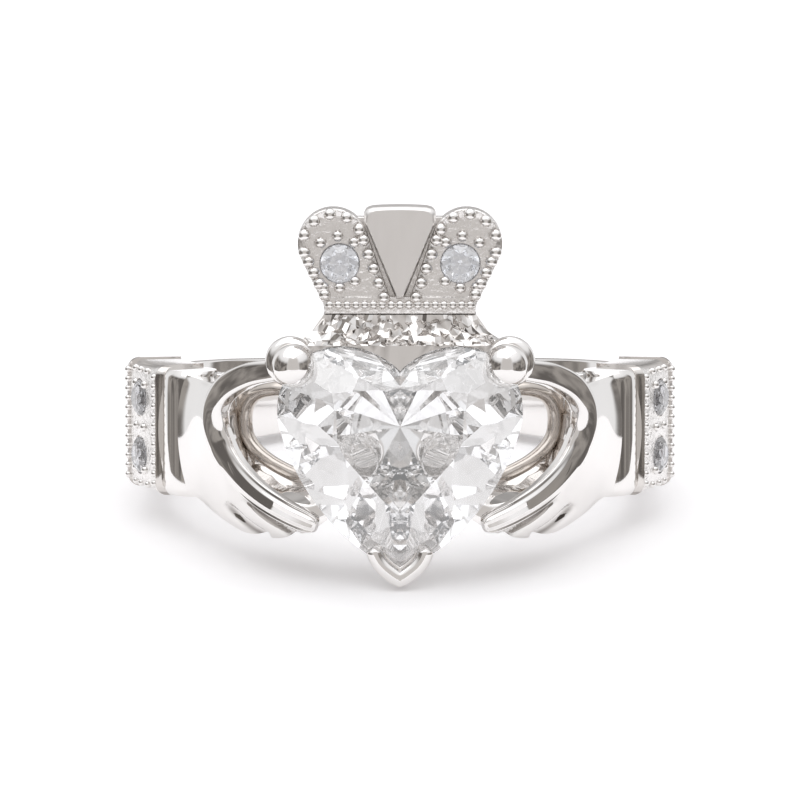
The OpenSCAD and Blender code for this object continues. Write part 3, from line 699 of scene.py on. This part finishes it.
# Windows, and the thin wall behind the heart
WINDOW = np.array([(0.60, 0.76), (0.82, 0.85), (1.02, 0.84), (1.16, 0.73), (1.23, 0.53), (1.25, 0.27),
                   (1.23, 0.02), (1.16, -0.20), (1.04, -0.39), (0.88, -0.55), (0.70, -0.68),
                   (0.60, -0.62)]) * [HEART_W / 2, HAND_UP]


def wall_part():
    wide = FINGER_R * math.sin(math.radians(RIB_ANGLE + 1))
    hole = smooth_line(WINDOW, 6)[::-1]
    outline = np.array([(t * wide, -HAND_UP) for t in np.linspace(-1, 1, 70)]
                       + [(-t * wide, HAND_UP) for t in np.linspace(-1, 1, 70)])
    holes = [hole, (hole * [-1, 1])[::-1]]
    flat, tris = filled(outline, holes, 0.25)

    def bent(p, r):
        y = -np.sqrt(r * r - p[:, 0] ** 2)
        near = np.hypot(p[:, 0] - HEART_C[0], p[:, 1] - HEART_C[1])
        if r > FINGER_R:
            y = np.maximum(y, -(FINGER_R + CULET_CLEAR - STONE_GAP) - 0.7 * near)
        return np.stack([p[:, 0], y, p[:, 1]], axis=1)

    parts = [(bent(flat, FINGER_R), tris), (bent(flat, FINGER_R + BASE_T), tris)]
    for line in [outline] + holes:
        rings = np.concatenate([bent(line, r) for r in (FINGER_R, FINGER_R + BASE_T)])
        parts.append((rings, bands(1, 2, len(line))))
    return merged(parts)


make("ring_wall", [wall_part()], POLISHED)


# Hands, in shares of the way from fingertips to wrist, wrist to girdle, and up or down
WRIST = at_angle(RIB_ANGLE - 3.5, FINGER_R + WRIST_T, 0)
TIPS_X, TIPS_Y = HEART_W * 0.322, GIRDLE_Y + 0.1


def hand_point(share):
    x, y, z = share
    reach = HAND_UP if z > 0 else HAND_DOWN
    return np.array([mix(TIPS_X, WRIST[0], x), mix(WRIST[1], TIPS_Y, y), z * reach])


# Palm, wrist first: inner edge x, y, z; outer edge x, y, z; bulge; 1 where it reaches the finger
PALM_SECTIONS = [
    [1.13, -0.12, 1.04, 1.13, -0.12, -0.64, 0.30, 1],
    [0.97, 0.08, 0.99, 0.97, 0.06, -0.66, 0.55, 1],
    [0.84, 0.35, 0.96, 0.82, 0.28, -0.79, 0.80, 1],
    [0.74, 0.55, 0.90, 0.70, 0.43, -0.88, 0.90, 1],
    [0.73, 0.61, 0.48, 0.60, 0.52, -0.94, 0.90, 1],
    [0.71, 0.66, 0.06, 0.51, 0.60, -0.96, 0.85, 1],
    [0.65, 0.71, -0.17, 0.42, 0.67, -0.97, 0.75, 1],
    [0.58, 0.75, -0.34, 0.33, 0.74, -0.97, 0.55, 1],
    [0.34, 0.83, -0.50, 0.18, 0.84, -0.92, 0.30, 0],
    [0.12, 0.90, -0.58, 0.06, 0.91, -0.84, 0.20, 0],
    [-0.03, 0.93, -0.55, -0.05, 0.93, -0.74, 0.05, 0],
]
# Across the back of the hand: share from outer to inner edge, bulge share
PALM_PROFILE = [(0.00, 0.00), (0.07, 0.35), (0.24, 0.78), (0.45, 1.00),
                (0.66, 1.00), (0.82, 0.80), (0.94, 0.45), (1.00, 0.00)]
# The thumb's roll down to the first fingertip: x, y, z, radius share
ROLL_LINE = [
    [0.26, 1.03, 1.38, 0.85], [0.37, 0.98, 1.34, 0.92], [0.54, 0.87, 1.24, 1.00],
    [0.71, 0.72, 1.00, 1.08], [0.79, 0.63, 0.70, 1.10], [0.80, 0.60, 0.37, 1.10],
    [0.76, 0.61, 0.04, 1.10], [0.69, 0.66, -0.17, 1.10], [0.58, 0.73, -0.36, 1.10],
    [0.44, 0.81, -0.52, 1.06], [0.26, 0.91, -0.66, 1.00], [0.11, 0.97, -0.75, 0.92],
    [0.05, 0.99, -0.78, 0.70], [0.03, 1.00, -0.79, 0.40],
]
# Grooves between the fingers as (x, z) seen from the front, knuckle first
GROOVES = [
    [(5.80, -1.86), (5.30, -2.22), (4.77, -2.62), (4.20, -3.02), (3.60, -3.42)],
    [(6.46, -2.24), (6.12, -2.56), (5.76, -2.87), (5.40, -3.12), (4.98, -3.36)],
]
GROOVE_HALF_W, GROOVE_DEEP = 0.15, 0.24


def near_groove(flat, groove):
    """How far points (x, z) lie from a groove, and the share of the way along it."""
    line = smooth_line(groove, 8)
    gap = np.linalg.norm(flat[..., None, :] - line, axis=-1)
    return gap.min(axis=-1), gap.argmin(axis=-1) / (len(line) - 1)


def palm_part():
    rear_r, drop, web, flare = FINGER_R + 0.1, 0.6, 1.2, 0.5
    limit = rear_r * math.sin(math.radians(RIB_ANGLE - 3.5))

    def rear_x(x):
        return x if x < limit else mix(limit, x, 0.1)

    backs, ends = [], []
    for row in PALM_SECTIONS:
        inner, outer = hand_point(row[0:3]), hand_point(row[3:6])
        back = []
        for share, bulge in smooth_line(PALM_PROFILE, 12):
            at = mix(outer, inner, share)
            back.append(at + unit(at * [1, 1, 0]) * HAND_BULGE * row[6] * bulge)
        backs.append(back)
        inner_rear = (rear_x(inner[0] - flare), inner[2] * 0.97)
        outer_rear = (rear_x(outer[0]), outer[2] * drop)
        if row[7] == 1:
            ends.append([in_front(outer_rear, rear_r), in_front(inner_rear, rear_r)])
        else:
            ends.append([np.array([p[0], edge[1] + web, p[1]])
                         for p, edge in ((outer_rear, outer), (inner_rear, inner))])
    skin, ends = smooth_line(backs, 12), smooth_line(ends, 12)
    facing = unit(np.cross(np.gradient(skin, axis=0), np.gradient(skin, axis=1)))
    facing *= np.sign((facing * skin * [1, 1, 0]).sum(axis=2, keepdims=True))
    for groove in GROOVES:
        gap, reach = near_groove(skin[..., [0, 2]], groove)
        depth = GROOVE_DEEP * np.clip(reach / 0.3, 0, 1) ** 0.5 * np.exp(-((gap / GROOVE_HALF_W) ** 2))
        skin = skin - facing * depth[:, :, None]
    return loft(np.concatenate([ends[:, :1], skin, ends[:, 1:]], axis=1))


def roll_part():
    rows = smooth_line(ROLL_LINE, 8)
    share = np.linspace(0, 1, len(rows))
    ripples = 0.06 * np.clip((share - 0.5) / 0.25, 0, 1) * np.clip((1 - share) / 0.12, 0, 1)
    wide = THUMB_R * rows[:, 3]
    return ribbon([hand_point(row[:3]) for row in rows], wide * 1.15, wide * 0.72, ripples)


def rim_part():
    line = smooth_line(WINDOW[1:-1] + [RIM_R / 2, 0], 6)
    path = [in_front(p, FINGER_R + BASE_T - RIM_R * 0.2) for p in line]
    ends = np.minimum(1, np.sqrt(np.minimum(np.arange(len(line)), np.arange(len(line))[::-1]) / 5 + 0.1))
    return tube(path, RIM_R * ends)


def rib_part():
    rings = []
    wide, middle = RIB_R * 1.28, RIB_ANGLE + 1.8
    for t in np.linspace(-1, 1, 61):
        z = t * RIB_W / 2
        slack = max(0.0, abs(z) - RIB_W * 0.3)
        end = max(0.0, abs(t) - 0.88) / 0.12
        lower = 0.075 * slack**2 + 0.14 * end**2
        foot = at_angle(middle, CUFF_R - RIB_R - lower, z)
        out, along = at_angle(middle, 1, 0), at_angle(middle + 90, 1, 0)
        rings.append([foot + (wide - 0.08 * end**2) * math.cos(a) * along + RIB_R * math.sin(a) * out
                      for a in np.linspace(0, 2 * math.pi, 56, endpoint=False)])
    return loft(rings)


def groove_painted_shade(points):
    """Painted shade: how far the metal's colour is darkened in the grooves between the fingers."""
    total = np.zeros(len(points))
    for groove in GROOVES:
        gap, reach = near_groove(np.stack([np.abs(points[:, 0]), points[:, 2]], axis=1), groove)
        total += np.clip(reach / 0.2, 0, 1) * np.exp(-((gap / (GROOVE_HALF_W * 0.75)) ** 2))
    return np.clip(total, 0, 1) * 0.85 * (points[:, 1] < -7)


hand_parts = [palm_part(), roll_part()]
for _, word, flip in SIDES:
    hand = make(f"hand_{word}", [flip(p) for p in hand_parts], POLISHED)
    # Painted shade in the grooves between the fingers, darkening the metal's colour.
    paint_darker(hand, groove_painted_shade)
    make(f"rim_{word}", [flip(rim_part())], WORN)
    make(f"rib_{word}", [flip(rib_part())], POLISHED)


# Cuffs
def cuff_profile(r, half, round_r=0.5):
    foot = FINGER_R + 0.05
    return np.concatenate([[[foot, -half]], arc((r - round_r, round_r - half), round_r, -90, 0, 8),
                           [[r, z] for z in np.linspace(round_r - half, half - round_r, 9)[1:-1]],
                           arc((r - round_r, half - round_r), round_r, 0, 90, 8), [[foot, half]]])


def swept(profile, start, end, steps):
    return loft([[at_angle(a, r, z) for r, z in profile] for a in np.linspace(start, end, steps)])


def cuff_parts():
    half, lip = CUFF_W / 2, 1.4
    start, end = CUFF_ANGLE - CUFF_SPAN / 2, CUFF_ANGLE + CUFF_SPAN / 2
    parts = [swept(cuff_profile(CUFF_FIELD_R, half), start, end, 30)]
    for a in (start - 0.2, end - lip + 0.2):
        parts.append(swept(cuff_profile(CUFF_R, half + 0.05), a, a + lip, 4))
    row = half - 0.4
    up = int(2 * row / (2.5 * FINE_BEAD_R))
    prong, prong_z = PRONG_BEAD_R * 0.8, (CUFF_STONE_PITCH + CUFF_STONE_D) * 0.46
    beads = []
    for side in (-1, 1):
        across = side * (CUFF_SPAN - lip) / 2
        spots = [(across, CUFF_R - FINE_BEAD_R * 0.3, mix(-row, row, i / up), FINE_BEAD_R) for i in range(up + 1)]
        spots += [(mix(-1, 1, i / 4) * CUFF_SPAN * 0.42, CUFF_FIELD_R - FINE_BEAD_R * 0.5,
                   side * (row + FINE_BEAD_R), FINE_BEAD_R) for i in (1, 2, 3)]
        spots += [(side * turn, CUFF_FIELD_R - prong * 0.2, z, prong)
                  for turn, z in ((2.4, 0), (3, -prong_z), (3, prong_z))]
        beads += [ball(at_angle(CUFF_ANGLE + turn, r, z), size) for turn, r, z, size in spots]
    return parts, beads


def seat(foot, out, d):
    """The space a round stone and its gap take from the metal."""
    r = d / 2 + STONE_GAP
    neck = r * 0.62
    top, deep = ROUND_GIRDLE * d + STONE_GAP, ROUND_DEEP * d + STONE_GAP
    profile = [(r * 0.25, -top - deep), (r, -top), (r, top), (neck, top + ROUND_CROWN * d), (neck, top + d)]
    return turned(profile, foot, out, 48)


# A cuff's face is grained where it looks away from the ring's centre by this share
OUTWARD = 0.8
cuff_body, cuff_beads = cuff_parts()
for side, word, flip in SIDES:
    body = make(f"cuff_{word}", [flip(p) for p in cuff_body], POLISHED)
    feet = [at_angle(side * CUFF_ANGLE, CUFF_FIELD_R, level * CUFF_STONE_PITCH / 2) for level in (-1, 1)]
    carve(body, [seat(foot, foot * [1, 1, 0], CUFF_STONE_D) for foot in feet])
    body.data.materials.append(GRAINED)
    for face in body.data.polygons:
        if face.normal.dot(face.center.normalized()) > OUTWARD:
            face.material_index = len(body.data.materials) - 1
    make(f"cuff_beads_{word}", [flip(p) for p in cuff_beads], POLISHED)


# Ball prongs, V prong and gallery
def ball_prong_parts():
    foot = in_front((BALL[0] * 0.62, BALL[2] * 0.48), FINGER_R + BASE_T / 2)
    way = BALL - foot
    length = float(np.linalg.norm(way))
    post = turned([(BALL_R * 0.6, 0), (BALL_R * 0.6, length * 0.5), (BALL_R * 0.62, length)], foot, way)
    swell = [(0.55 + 0.38 * math.cos(a), 0.38 * math.sin(a)) for a in np.linspace(-1.5, 1.5, 15)]
    collar = turned([(0.3, -0.55)] + swell + [(0.3, 0.4)], BALL + [0.12, 0.42, 0.1], (0.1, -1, 0.1), 56)
    return [ball(BALL, BALL_R, 40, 64), post, collar]


# The V prong's outer edge, point first, as x and height over the point
V_EDGE = np.array([(0.0, 0.0), (0.26, 0.10), (0.55, 0.30), (0.83, 0.54),
                   (1.05, 0.82), (1.19, 1.12), (1.26, 1.46)])
# How far its front is rounded over and its ends drop back
V_ROUND, V_END_BACK = 0.26, 0.25


def v_bar(half_w, drop, front, back):
    """A V-shaped bar, rounded in front, that follows the prong's outer edge at a drop inside it."""
    line = smooth_line(V_EDGE, 5)
    line = np.concatenate([(line * [-1, 1])[:0:-1], line]) + [0, V_POINT]
    along = unit(np.gradient(line, axis=0))
    across = np.stack([-along[:, 1], along[:, 0]], axis=1)
    across[np.abs(line[:, 0]) < 1e-9] = [0, 1]
    middle = line + across * (half_w + drop)
    section = [(math.sin(a), math.cos(a)) for a in np.linspace(-math.pi / 2, math.pi / 2, 13)]
    rings = []
    for k, (at, side_way) in enumerate(zip(middle, across)):
        end = min(1.0, math.sqrt((min(k, len(middle) - 1 - k) + 0.35) / 3))
        ring = [(at[0] + side_way[0] * half_w * end * u, mix(front + V_ROUND, front, v) + (1 - end) * V_END_BACK,
                 at[1] + side_way[1] * half_w * end * u) for u, v in section]
        ring += [(ring[-1][0], back, ring[-1][2]), (ring[0][0], back, ring[0][2])]
        rings.append(ring)
    return loft(rings)


def v_outline(grow, lift):
    along = heading(V_SLOPE)
    across = np.array([-along[1], along[0]])
    outer = np.array([0, V_POINT - grow / along[0] + lift])
    inner = np.array([0, V_POINT + V_ARM / along[0] + lift])
    end_out = outer + along * (V_LEN + grow)
    end_in = end_out + across * (V_ARM + grow)
    return np.array([end_out * [-1, 1], outer, end_out, end_in, inner, end_in * [-1, 1]])


def v_parts():
    back = GIRDLE_Y + 0.4
    stem = [standing(v_outline(grow, lift), y) for y, grow, lift in
            ((-FINGER_R - BASE_T / 2, 0.1, 2.1), (back, -0.02, 0.2), (back - 0.25, -0.1, 0.14))]
    return [loft(stem), v_bar(V_ARM * 0.66, 0.0, V_FRONT_Y - 0.06, back),
            v_bar(0.12, V_ARM * 1.12, V_FRONT_Y + 0.2, GIRDLE_Y + 0.1)]


def gallery_part():
    outline = heart_outline(14)
    wide, narrow, back = 0.66, 0.5, -(FINGER_R + BASE_T / 2)
    return closed_loft([standing(HEART_C + (outline - HEART_C) * share, y) for share, y in
                        ((wide, back), (wide, GIRDLE_Y + 1.25), (narrow, GIRDLE_Y + 1.8), (narrow, back))])


for _, word, flip in SIDES:
    make(f"ball_prong_{word}", [flip(p) for p in ball_prong_parts()], POLISHED)
make("v_prong", v_parts(), POLISHED, 50)
make("gallery", [gallery_part()], POLISHED)


# Crown
def flipped(outline):
    return (np.asarray(outline, float) * [-1, 1])[::-1]


def touch_angle(p, c, r, turn):
    d = np.asarray(c) - np.asarray(p)
    return math.degrees(math.atan2(d[1], d[0])) + turn * (90 + math.degrees(math.asin(r / np.linalg.norm(d))))


ROUND_C = np.array([CROWN_HALF_W - LOBE_ROUND_R, CROWN_TOP - LOBE_ROUND_R])
PANEL_FOOT_HALF_W, PANEL_ROUND_R, LOBE_SUNK, LOBE_RIM = 0.14, 0.28, 0.1, 0.1
# Short of the crown's back, so that no two backs share a plane
CROWN_HIDDEN_Y = CROWN_BACK_Y - 0.03
LOBE_FOOT_OUT = np.array([CROWN_BASE_HALF_W, CROWN_BASE_Z])
LOBE_FOOT_IN = np.array([PANEL_FOOT_HALF_W + GROOVE_W * 0.6, CROWN_BASE_Z])
LOBE_A_OUT = touch_angle(LOBE_FOOT_OUT, ROUND_C, LOBE_ROUND_R, -1)
LOBE_A_IN = touch_angle(LOBE_FOOT_IN, ROUND_C, LOBE_ROUND_R, 1)


def lobe_outline():
    top = arc(ROUND_C, LOBE_ROUND_R, LOBE_A_OUT, LOBE_A_IN, 30)
    up = [mix(LOBE_FOOT_OUT, top[0], t) for t in np.linspace(0, 1, 24, endpoint=False)]
    down = [mix(top[-1], LOBE_FOOT_IN, t) for t in np.linspace(0, 1, 24)[1:]]
    foot = [mix(LOBE_FOOT_IN, LOBE_FOOT_OUT, t) for t in np.linspace(0, 1, 20)[1:-1]]
    return np.array(up + list(top) + down + foot)


def lobe_relief(flat):
    """The sunk field inside the lobe's rim."""
    return LOBE_SUNK * np.clip((gap_to(flat, lobe_outline()) - LOBE_RIM) / LOBE_RIM, 0, 1)


# Beads around a crown stone: degrees round it, and the share of the usual way from its centre
STONE_BEADS = [(56, 0.95), (94, 1.02), (132, 1.04), (236, 1.05), (270, 0.88), (311, 0.85)]


def lobe_bead_parts():
    inset_by = LOBE_BEAD_R * 1.15
    spots = []
    for count, foot, a in ((4, LOBE_FOOT_OUT, LOBE_A_OUT), (5, LOBE_FOOT_IN, LOBE_A_IN)):
        touch = ROUND_C + LOBE_ROUND_R * heading(a)
        spots += [mix(foot, touch, (i + 0.5) / (count - 0.1)) - heading(a) * inset_by for i in range(count)]
    for i in range(6):
        a = mix(LOBE_A_OUT, LOBE_A_IN, (i + 0.3) / 5.6)
        spots.append(ROUND_C + (LOBE_ROUND_R - inset_by) * heading(a))
    beads = [ball((x, CROWN_FRONT_Y - 0.07, z), LOBE_BEAD_R * 1.28, 16, 26) for x, z in spots]
    for a, away in STONE_BEADS:
        x, z = CROWN_STONE_AT + away * CROWN_STONE_D * 0.72 * heading(180 - a)
        beads.append(ball((x, CROWN_FRONT_Y - 0.05, z), PRONG_BEAD_R, 14, 22))
    return beads


def panel_outline(by):
    """The panel's outline, its sides moved inwards."""
    half, top = PANEL_HALF_W - by, CROWN_TOP + 0.02 - by
    foot = np.array([PANEL_FOOT_HALF_W - by / 2, CROWN_BASE_Z + 0.12 + by])
    shoulder = np.array([half, top - PANEL_ROUND_R * 1.7])
    side = [mix(foot, shoulder, t) for t in np.linspace(0, 1, 12)]
    corner = arc((half - PANEL_ROUND_R, top - PANEL_ROUND_R), PANEL_ROUND_R, -12, 84, 10)
    crest = [(x, top + 0.06 * (1 - (x / half) ** 2)) for x in np.linspace(half - PANEL_ROUND_R * 1.2, 0.15, 8)]
    right = np.concatenate([side, corner, crest])
    return np.concatenate([right, flipped(right)])


def panel_parts():
    front = CROWN_FRONT_Y - PANEL_PROUD
    rows = ((CROWN_HIDDEN_Y, 0), (front + 0.2, 0), (front + 0.15, 0.01), (front + 0.02, 0.085), (front, 0.115))
    return [loft([standing(panel_outline(by), y) for y, by in rows])]


def backing_parts():
    corner = np.array([PANEL_HALF_W + GROOVE_W, CROWN_TOP - 0.35])
    foot = LOBE_FOOT_OUT - 0.1
    low = np.array([CROWN_BASE_HALF_W - 0.1, CROWN_BASE_Z - STRIP_H])
    high = LOBE_FOOT_OUT + [0, STRIP_OVERLAP]
    return [plate([foot, corner, corner * [-1, 1], foot * [-1, 1]], CROWN_FRONT_Y + 0.6, CROWN_BACK_Y, 0.05),
            plate([low, high, high * [-1, 1], low * [-1, 1]], CROWN_FRONT_Y - 0.02, CROWN_HIDDEN_Y - 0.02, 0.05)]


def strip_bead_parts():
    count = int(CROWN_BASE_HALF_W / FINE_BEAD_R * 0.8)
    reach = CROWN_BASE_HALF_W - FINE_BEAD_R * 1.9
    return [ball((mix(-reach, reach, i / count), CROWN_FRONT_Y - 0.06, CROWN_BASE_Z - STRIP_H * 0.2),
                 FINE_BEAD_R * 1.3, 14, 22) for i in range(count + 1)]


for side, word, flip in SIDES:
    body = plate(lobe_outline(), CROWN_FRONT_Y, CROWN_HIDDEN_Y, 0.07, 0.11, lobe_relief)
    lobe = make(f"crown_lobe_{word}", [flip(body)], GRAINED)
    foot = (side * CROWN_STONE_AT[0], CROWN_FRONT_Y, CROWN_STONE_AT[1])
    carve(lobe, [seat(foot, (0, -1, 0), CROWN_STONE_D)])
    make(f"crown_beads_{word}", [flip(p) for p in lobe_bead_parts()], POLISHED)
make("crown_panel", panel_parts(), SATIN, 25)
make("crown_back", backing_parts(), GRAINED)
make("strip_beads", strip_bead_parts(), POLISHED)


# Saddle between the crown and the heart's lobes
SHOULDER = smooth_line([(1.9, 3.9), (3.6, 4.05), (3.88, 4.0), (4.08, 3.66),
                        (4.35, 3.2), (4.66, 2.9), (5.01, 2.77)], 6)
SADDLE_LOW = HEART_TOP - HEART_CLEFT - 0.9
SADDLE_ROUGH = [0.07, 0.12, 0.12]


def saddle_part():
    rng = np.random.default_rng(11)
    scoop_r = 1.35
    scoop = (CROWN_FRONT_Y - scoop_r + 0.14, CROWN_BASE_Z - STRIP_H + 0.28)
    low, front, top = SADDLE_LOW, GIRDLE_Y - 0.12, CROWN_BASE_Z - STRIP_H + 0.05
    curve = [p for p in arc(scoop, scoop_r, 0, -90, 13) if p[0] > front and p[1] < top]
    profile = np.array([(CROWN_BACK_Y, low), (CROWN_BACK_Y, top)] + [tuple(p) for p in curve]
                       + [(front, scoop[1] - scoop_r), (front, low)])
    first, last = 3, 2 + len(curve)
    rings = []
    for t in np.linspace(-1, 1, 38):
        row = np.array([(t * np.interp(z, SHOULDER[:, 0], SHOULDER[:, 1]), y, z) for y, z in profile])
        if abs(t) < 0.97:
            row[first:last] += rng.uniform(-1, 1, (last - first, 3)) * SADDLE_ROUGH
        rings.append(row)
    return loft(rings)


def web_part():
    web = np.array([[BALL[0] * 0.55, HAND_UP * 0.7], [BALL[0] * 0.8, SADDLE_LOW + 0.3]])
    return plate(np.concatenate([web, flipped(web)]), CROWN_BACK_Y - 0.3, -(FINGER_R + BASE_T / 2), 0.05)


def saddle_dark_patches(points):
    """Darker patches, in a wave pattern, painted into the colour of the saddle's relief."""
    x, _, z = points.T
    return 0.6 * np.clip(np.sin(x * 8) * np.sin(z * 9 + x * 5), 0, 1)


saddle = make("saddle", [saddle_part(), web_part()], POLISHED)
carve(saddle, [heart_part(STONE_GAP)], 12)
# Darker patches in a wave pattern are painted into the saddle's colour.
paint_darker(saddle, saddle_dark_patches)

# Floor: a small sheet of paper, so that low reflections show the room beyond it
lowest = min(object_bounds()[0][2], cad_box[0][2])
FLOOR_X, FLOOR_Y, FLOOR_STEPS = (-0.025, 0.025), (-0.06, 0.12), 30
n = FLOOR_STEPS
floor_mesh = bpy.data.meshes.new("floor")
floor_mesh.from_pydata([(x, y, lowest) for y in np.linspace(*FLOOR_Y, n) for x in np.linspace(*FLOOR_X, n)], [],
                       [(i * n + j, i * n + j + 1, (i + 1) * n + j + 1, (i + 1) * n + j)
                        for i in range(n - 1) for j in range(n - 1)])
placed("floor", floor_mesh)
paper, tree, shader = new_material("white_paper")
# Painted light: the paper glows a little, which lifts its shadows and keeps it close to white.
for socket, value in (("Roughness", 0.7), ("Specular IOR Level", 0.2),
                      ("Emission Color", (1, 0.99, 1, 1)), ("Emission Strength", 0.16)):
    shader.inputs[socket].default_value = value
fibre = two_tone(tree, 30.0, 1.0, (0.90, 0.895, 0.905), (0.93, 0.925, 0.93))[1]
tree.links.new(fibre, shader.inputs["Base Color"])
floor_mesh.materials.append(paper)

# Light: a bright tent, with a darker room low at the sides and in front, where the camera stands
world = bpy.data.worlds.new("tent")
bpy.context.scene.world = world
world.use_nodes = True
tree = world.node_tree
sky = tree.nodes["Background"]
where = tree.nodes.new("ShaderNodeTexCoord")
split = tree.nodes.new("ShaderNodeSeparateXYZ")
tree.links.new(where.outputs["Generated"], split.inputs["Vector"])

# Degrees round from the camera's side, and degrees up
around = sum_of(tree, "DEGREES", sum_of(tree, "ARCTAN2", sum_of(tree, "ABSOLUTE", split.outputs["X"]),
                                        sum_of(tree, "MULTIPLY", split.outputs["Y"], -1.0)))
upward = sum_of(tree, "DEGREES", sum_of(tree, "ARCSINE", split.outputs["Z"]))
cloud = node_of(tree, "ShaderNodeTexNoise", Scale=3.5, Detail=3.0)
tree.links.new(where.outputs["Generated"], cloud.inputs["Vector"])
patchy = step(tree, cloud.outputs["Fac"], 0.38, 0.66)
side_room = sum_of(tree, "MULTIPLY", step(tree, around, 26, 38), step(tree, around, 122, 116))
side_room = sum_of(tree, "MULTIPLY", side_room, step(tree, upward, 34, 16))
front_room = sum_of(tree, "MULTIPLY", step(tree, around, 40, 24), step(tree, upward, 62, 44))
colour = blend(tree, step(tree, upward, 30, 60), (0.93, 0.93, 0.94), (1.15, 1.15, 1.17))
rear_room = sum_of(tree, "MULTIPLY", step(tree, around, 140, 162), step(tree, upward, 42, 8))
colour = blend(tree, rear_room, colour, blend(tree, patchy, (0.26, 0.25, 0.245), (0.62, 0.60, 0.59)))
path = tree.nodes.new("ShaderNodeLightPath")
kept = sum_of(tree, "SUBTRACT", 1.0, sum_of(tree, "MULTIPLY", path.outputs["Is Transmission Ray"], 0.25))
side_room = sum_of(tree, "MULTIPLY", side_room, kept)
front_room = sum_of(tree, "MULTIPLY", front_room, kept)
dark = blend(tree, patchy, (0.09, 0.078, 0.07), (0.34, 0.315, 0.29))
colour = blend(tree, sum_of(tree, "MULTIPLY", side_room, 0.94), colour, dark)
colour = blend(tree, sum_of(tree, "MULTIPLY", front_room, 0.85), colour, (0.60, 0.57, 0.55))
colour = blend(tree, path.outputs["Is Camera Ray"], colour, (1.0, 1.0, 1.0))
tree.links.new(colour, sky.inputs["Color"])

soft = bpy.data.lights.new("soft_top", "AREA")
soft.shape, soft.size, soft.size_y, soft.energy = "RECTANGLE", 0.6, 0.5, 0.55
soft_obj = placed("soft_top", soft)
soft_obj.location = (-0.03, 0.02, 0.4)
soft_obj.rotation_euler = Vector(soft_obj.location).to_track_quat("Z", "Y").to_euler()

# Camera at the photograph's angle
CAM_UP, CAM_FAR, CAM_LENS, CAM_LIFT = 15.7, 0.3, 354.24, 0.00061
e = math.radians(CAM_UP)
away, up = Vector((0, -math.cos(e), math.sin(e))), Vector((0, math.sin(e), math.cos(e)))
camera = bpy.data.cameras.new("camera")
camera.lens, camera.sensor_width = CAM_LENS, 36
camera.clip_start, camera.clip_end = 0.01, 10
cam = placed("camera", camera)
cam.location = away * CAM_FAR + up * CAM_LIFT
cam.rotation_mode = "QUATERNION"
cam.rotation_quaternion = away.to_track_quat("Z", "Y")
scene = bpy.context.scene
scene.camera = cam
scene.view_settings.view_transform = "Standard"
scene.cycles.max_bounces = 24
scene.cycles.glossy_bounces = 16
scene.cycles.transmission_bounces = 24
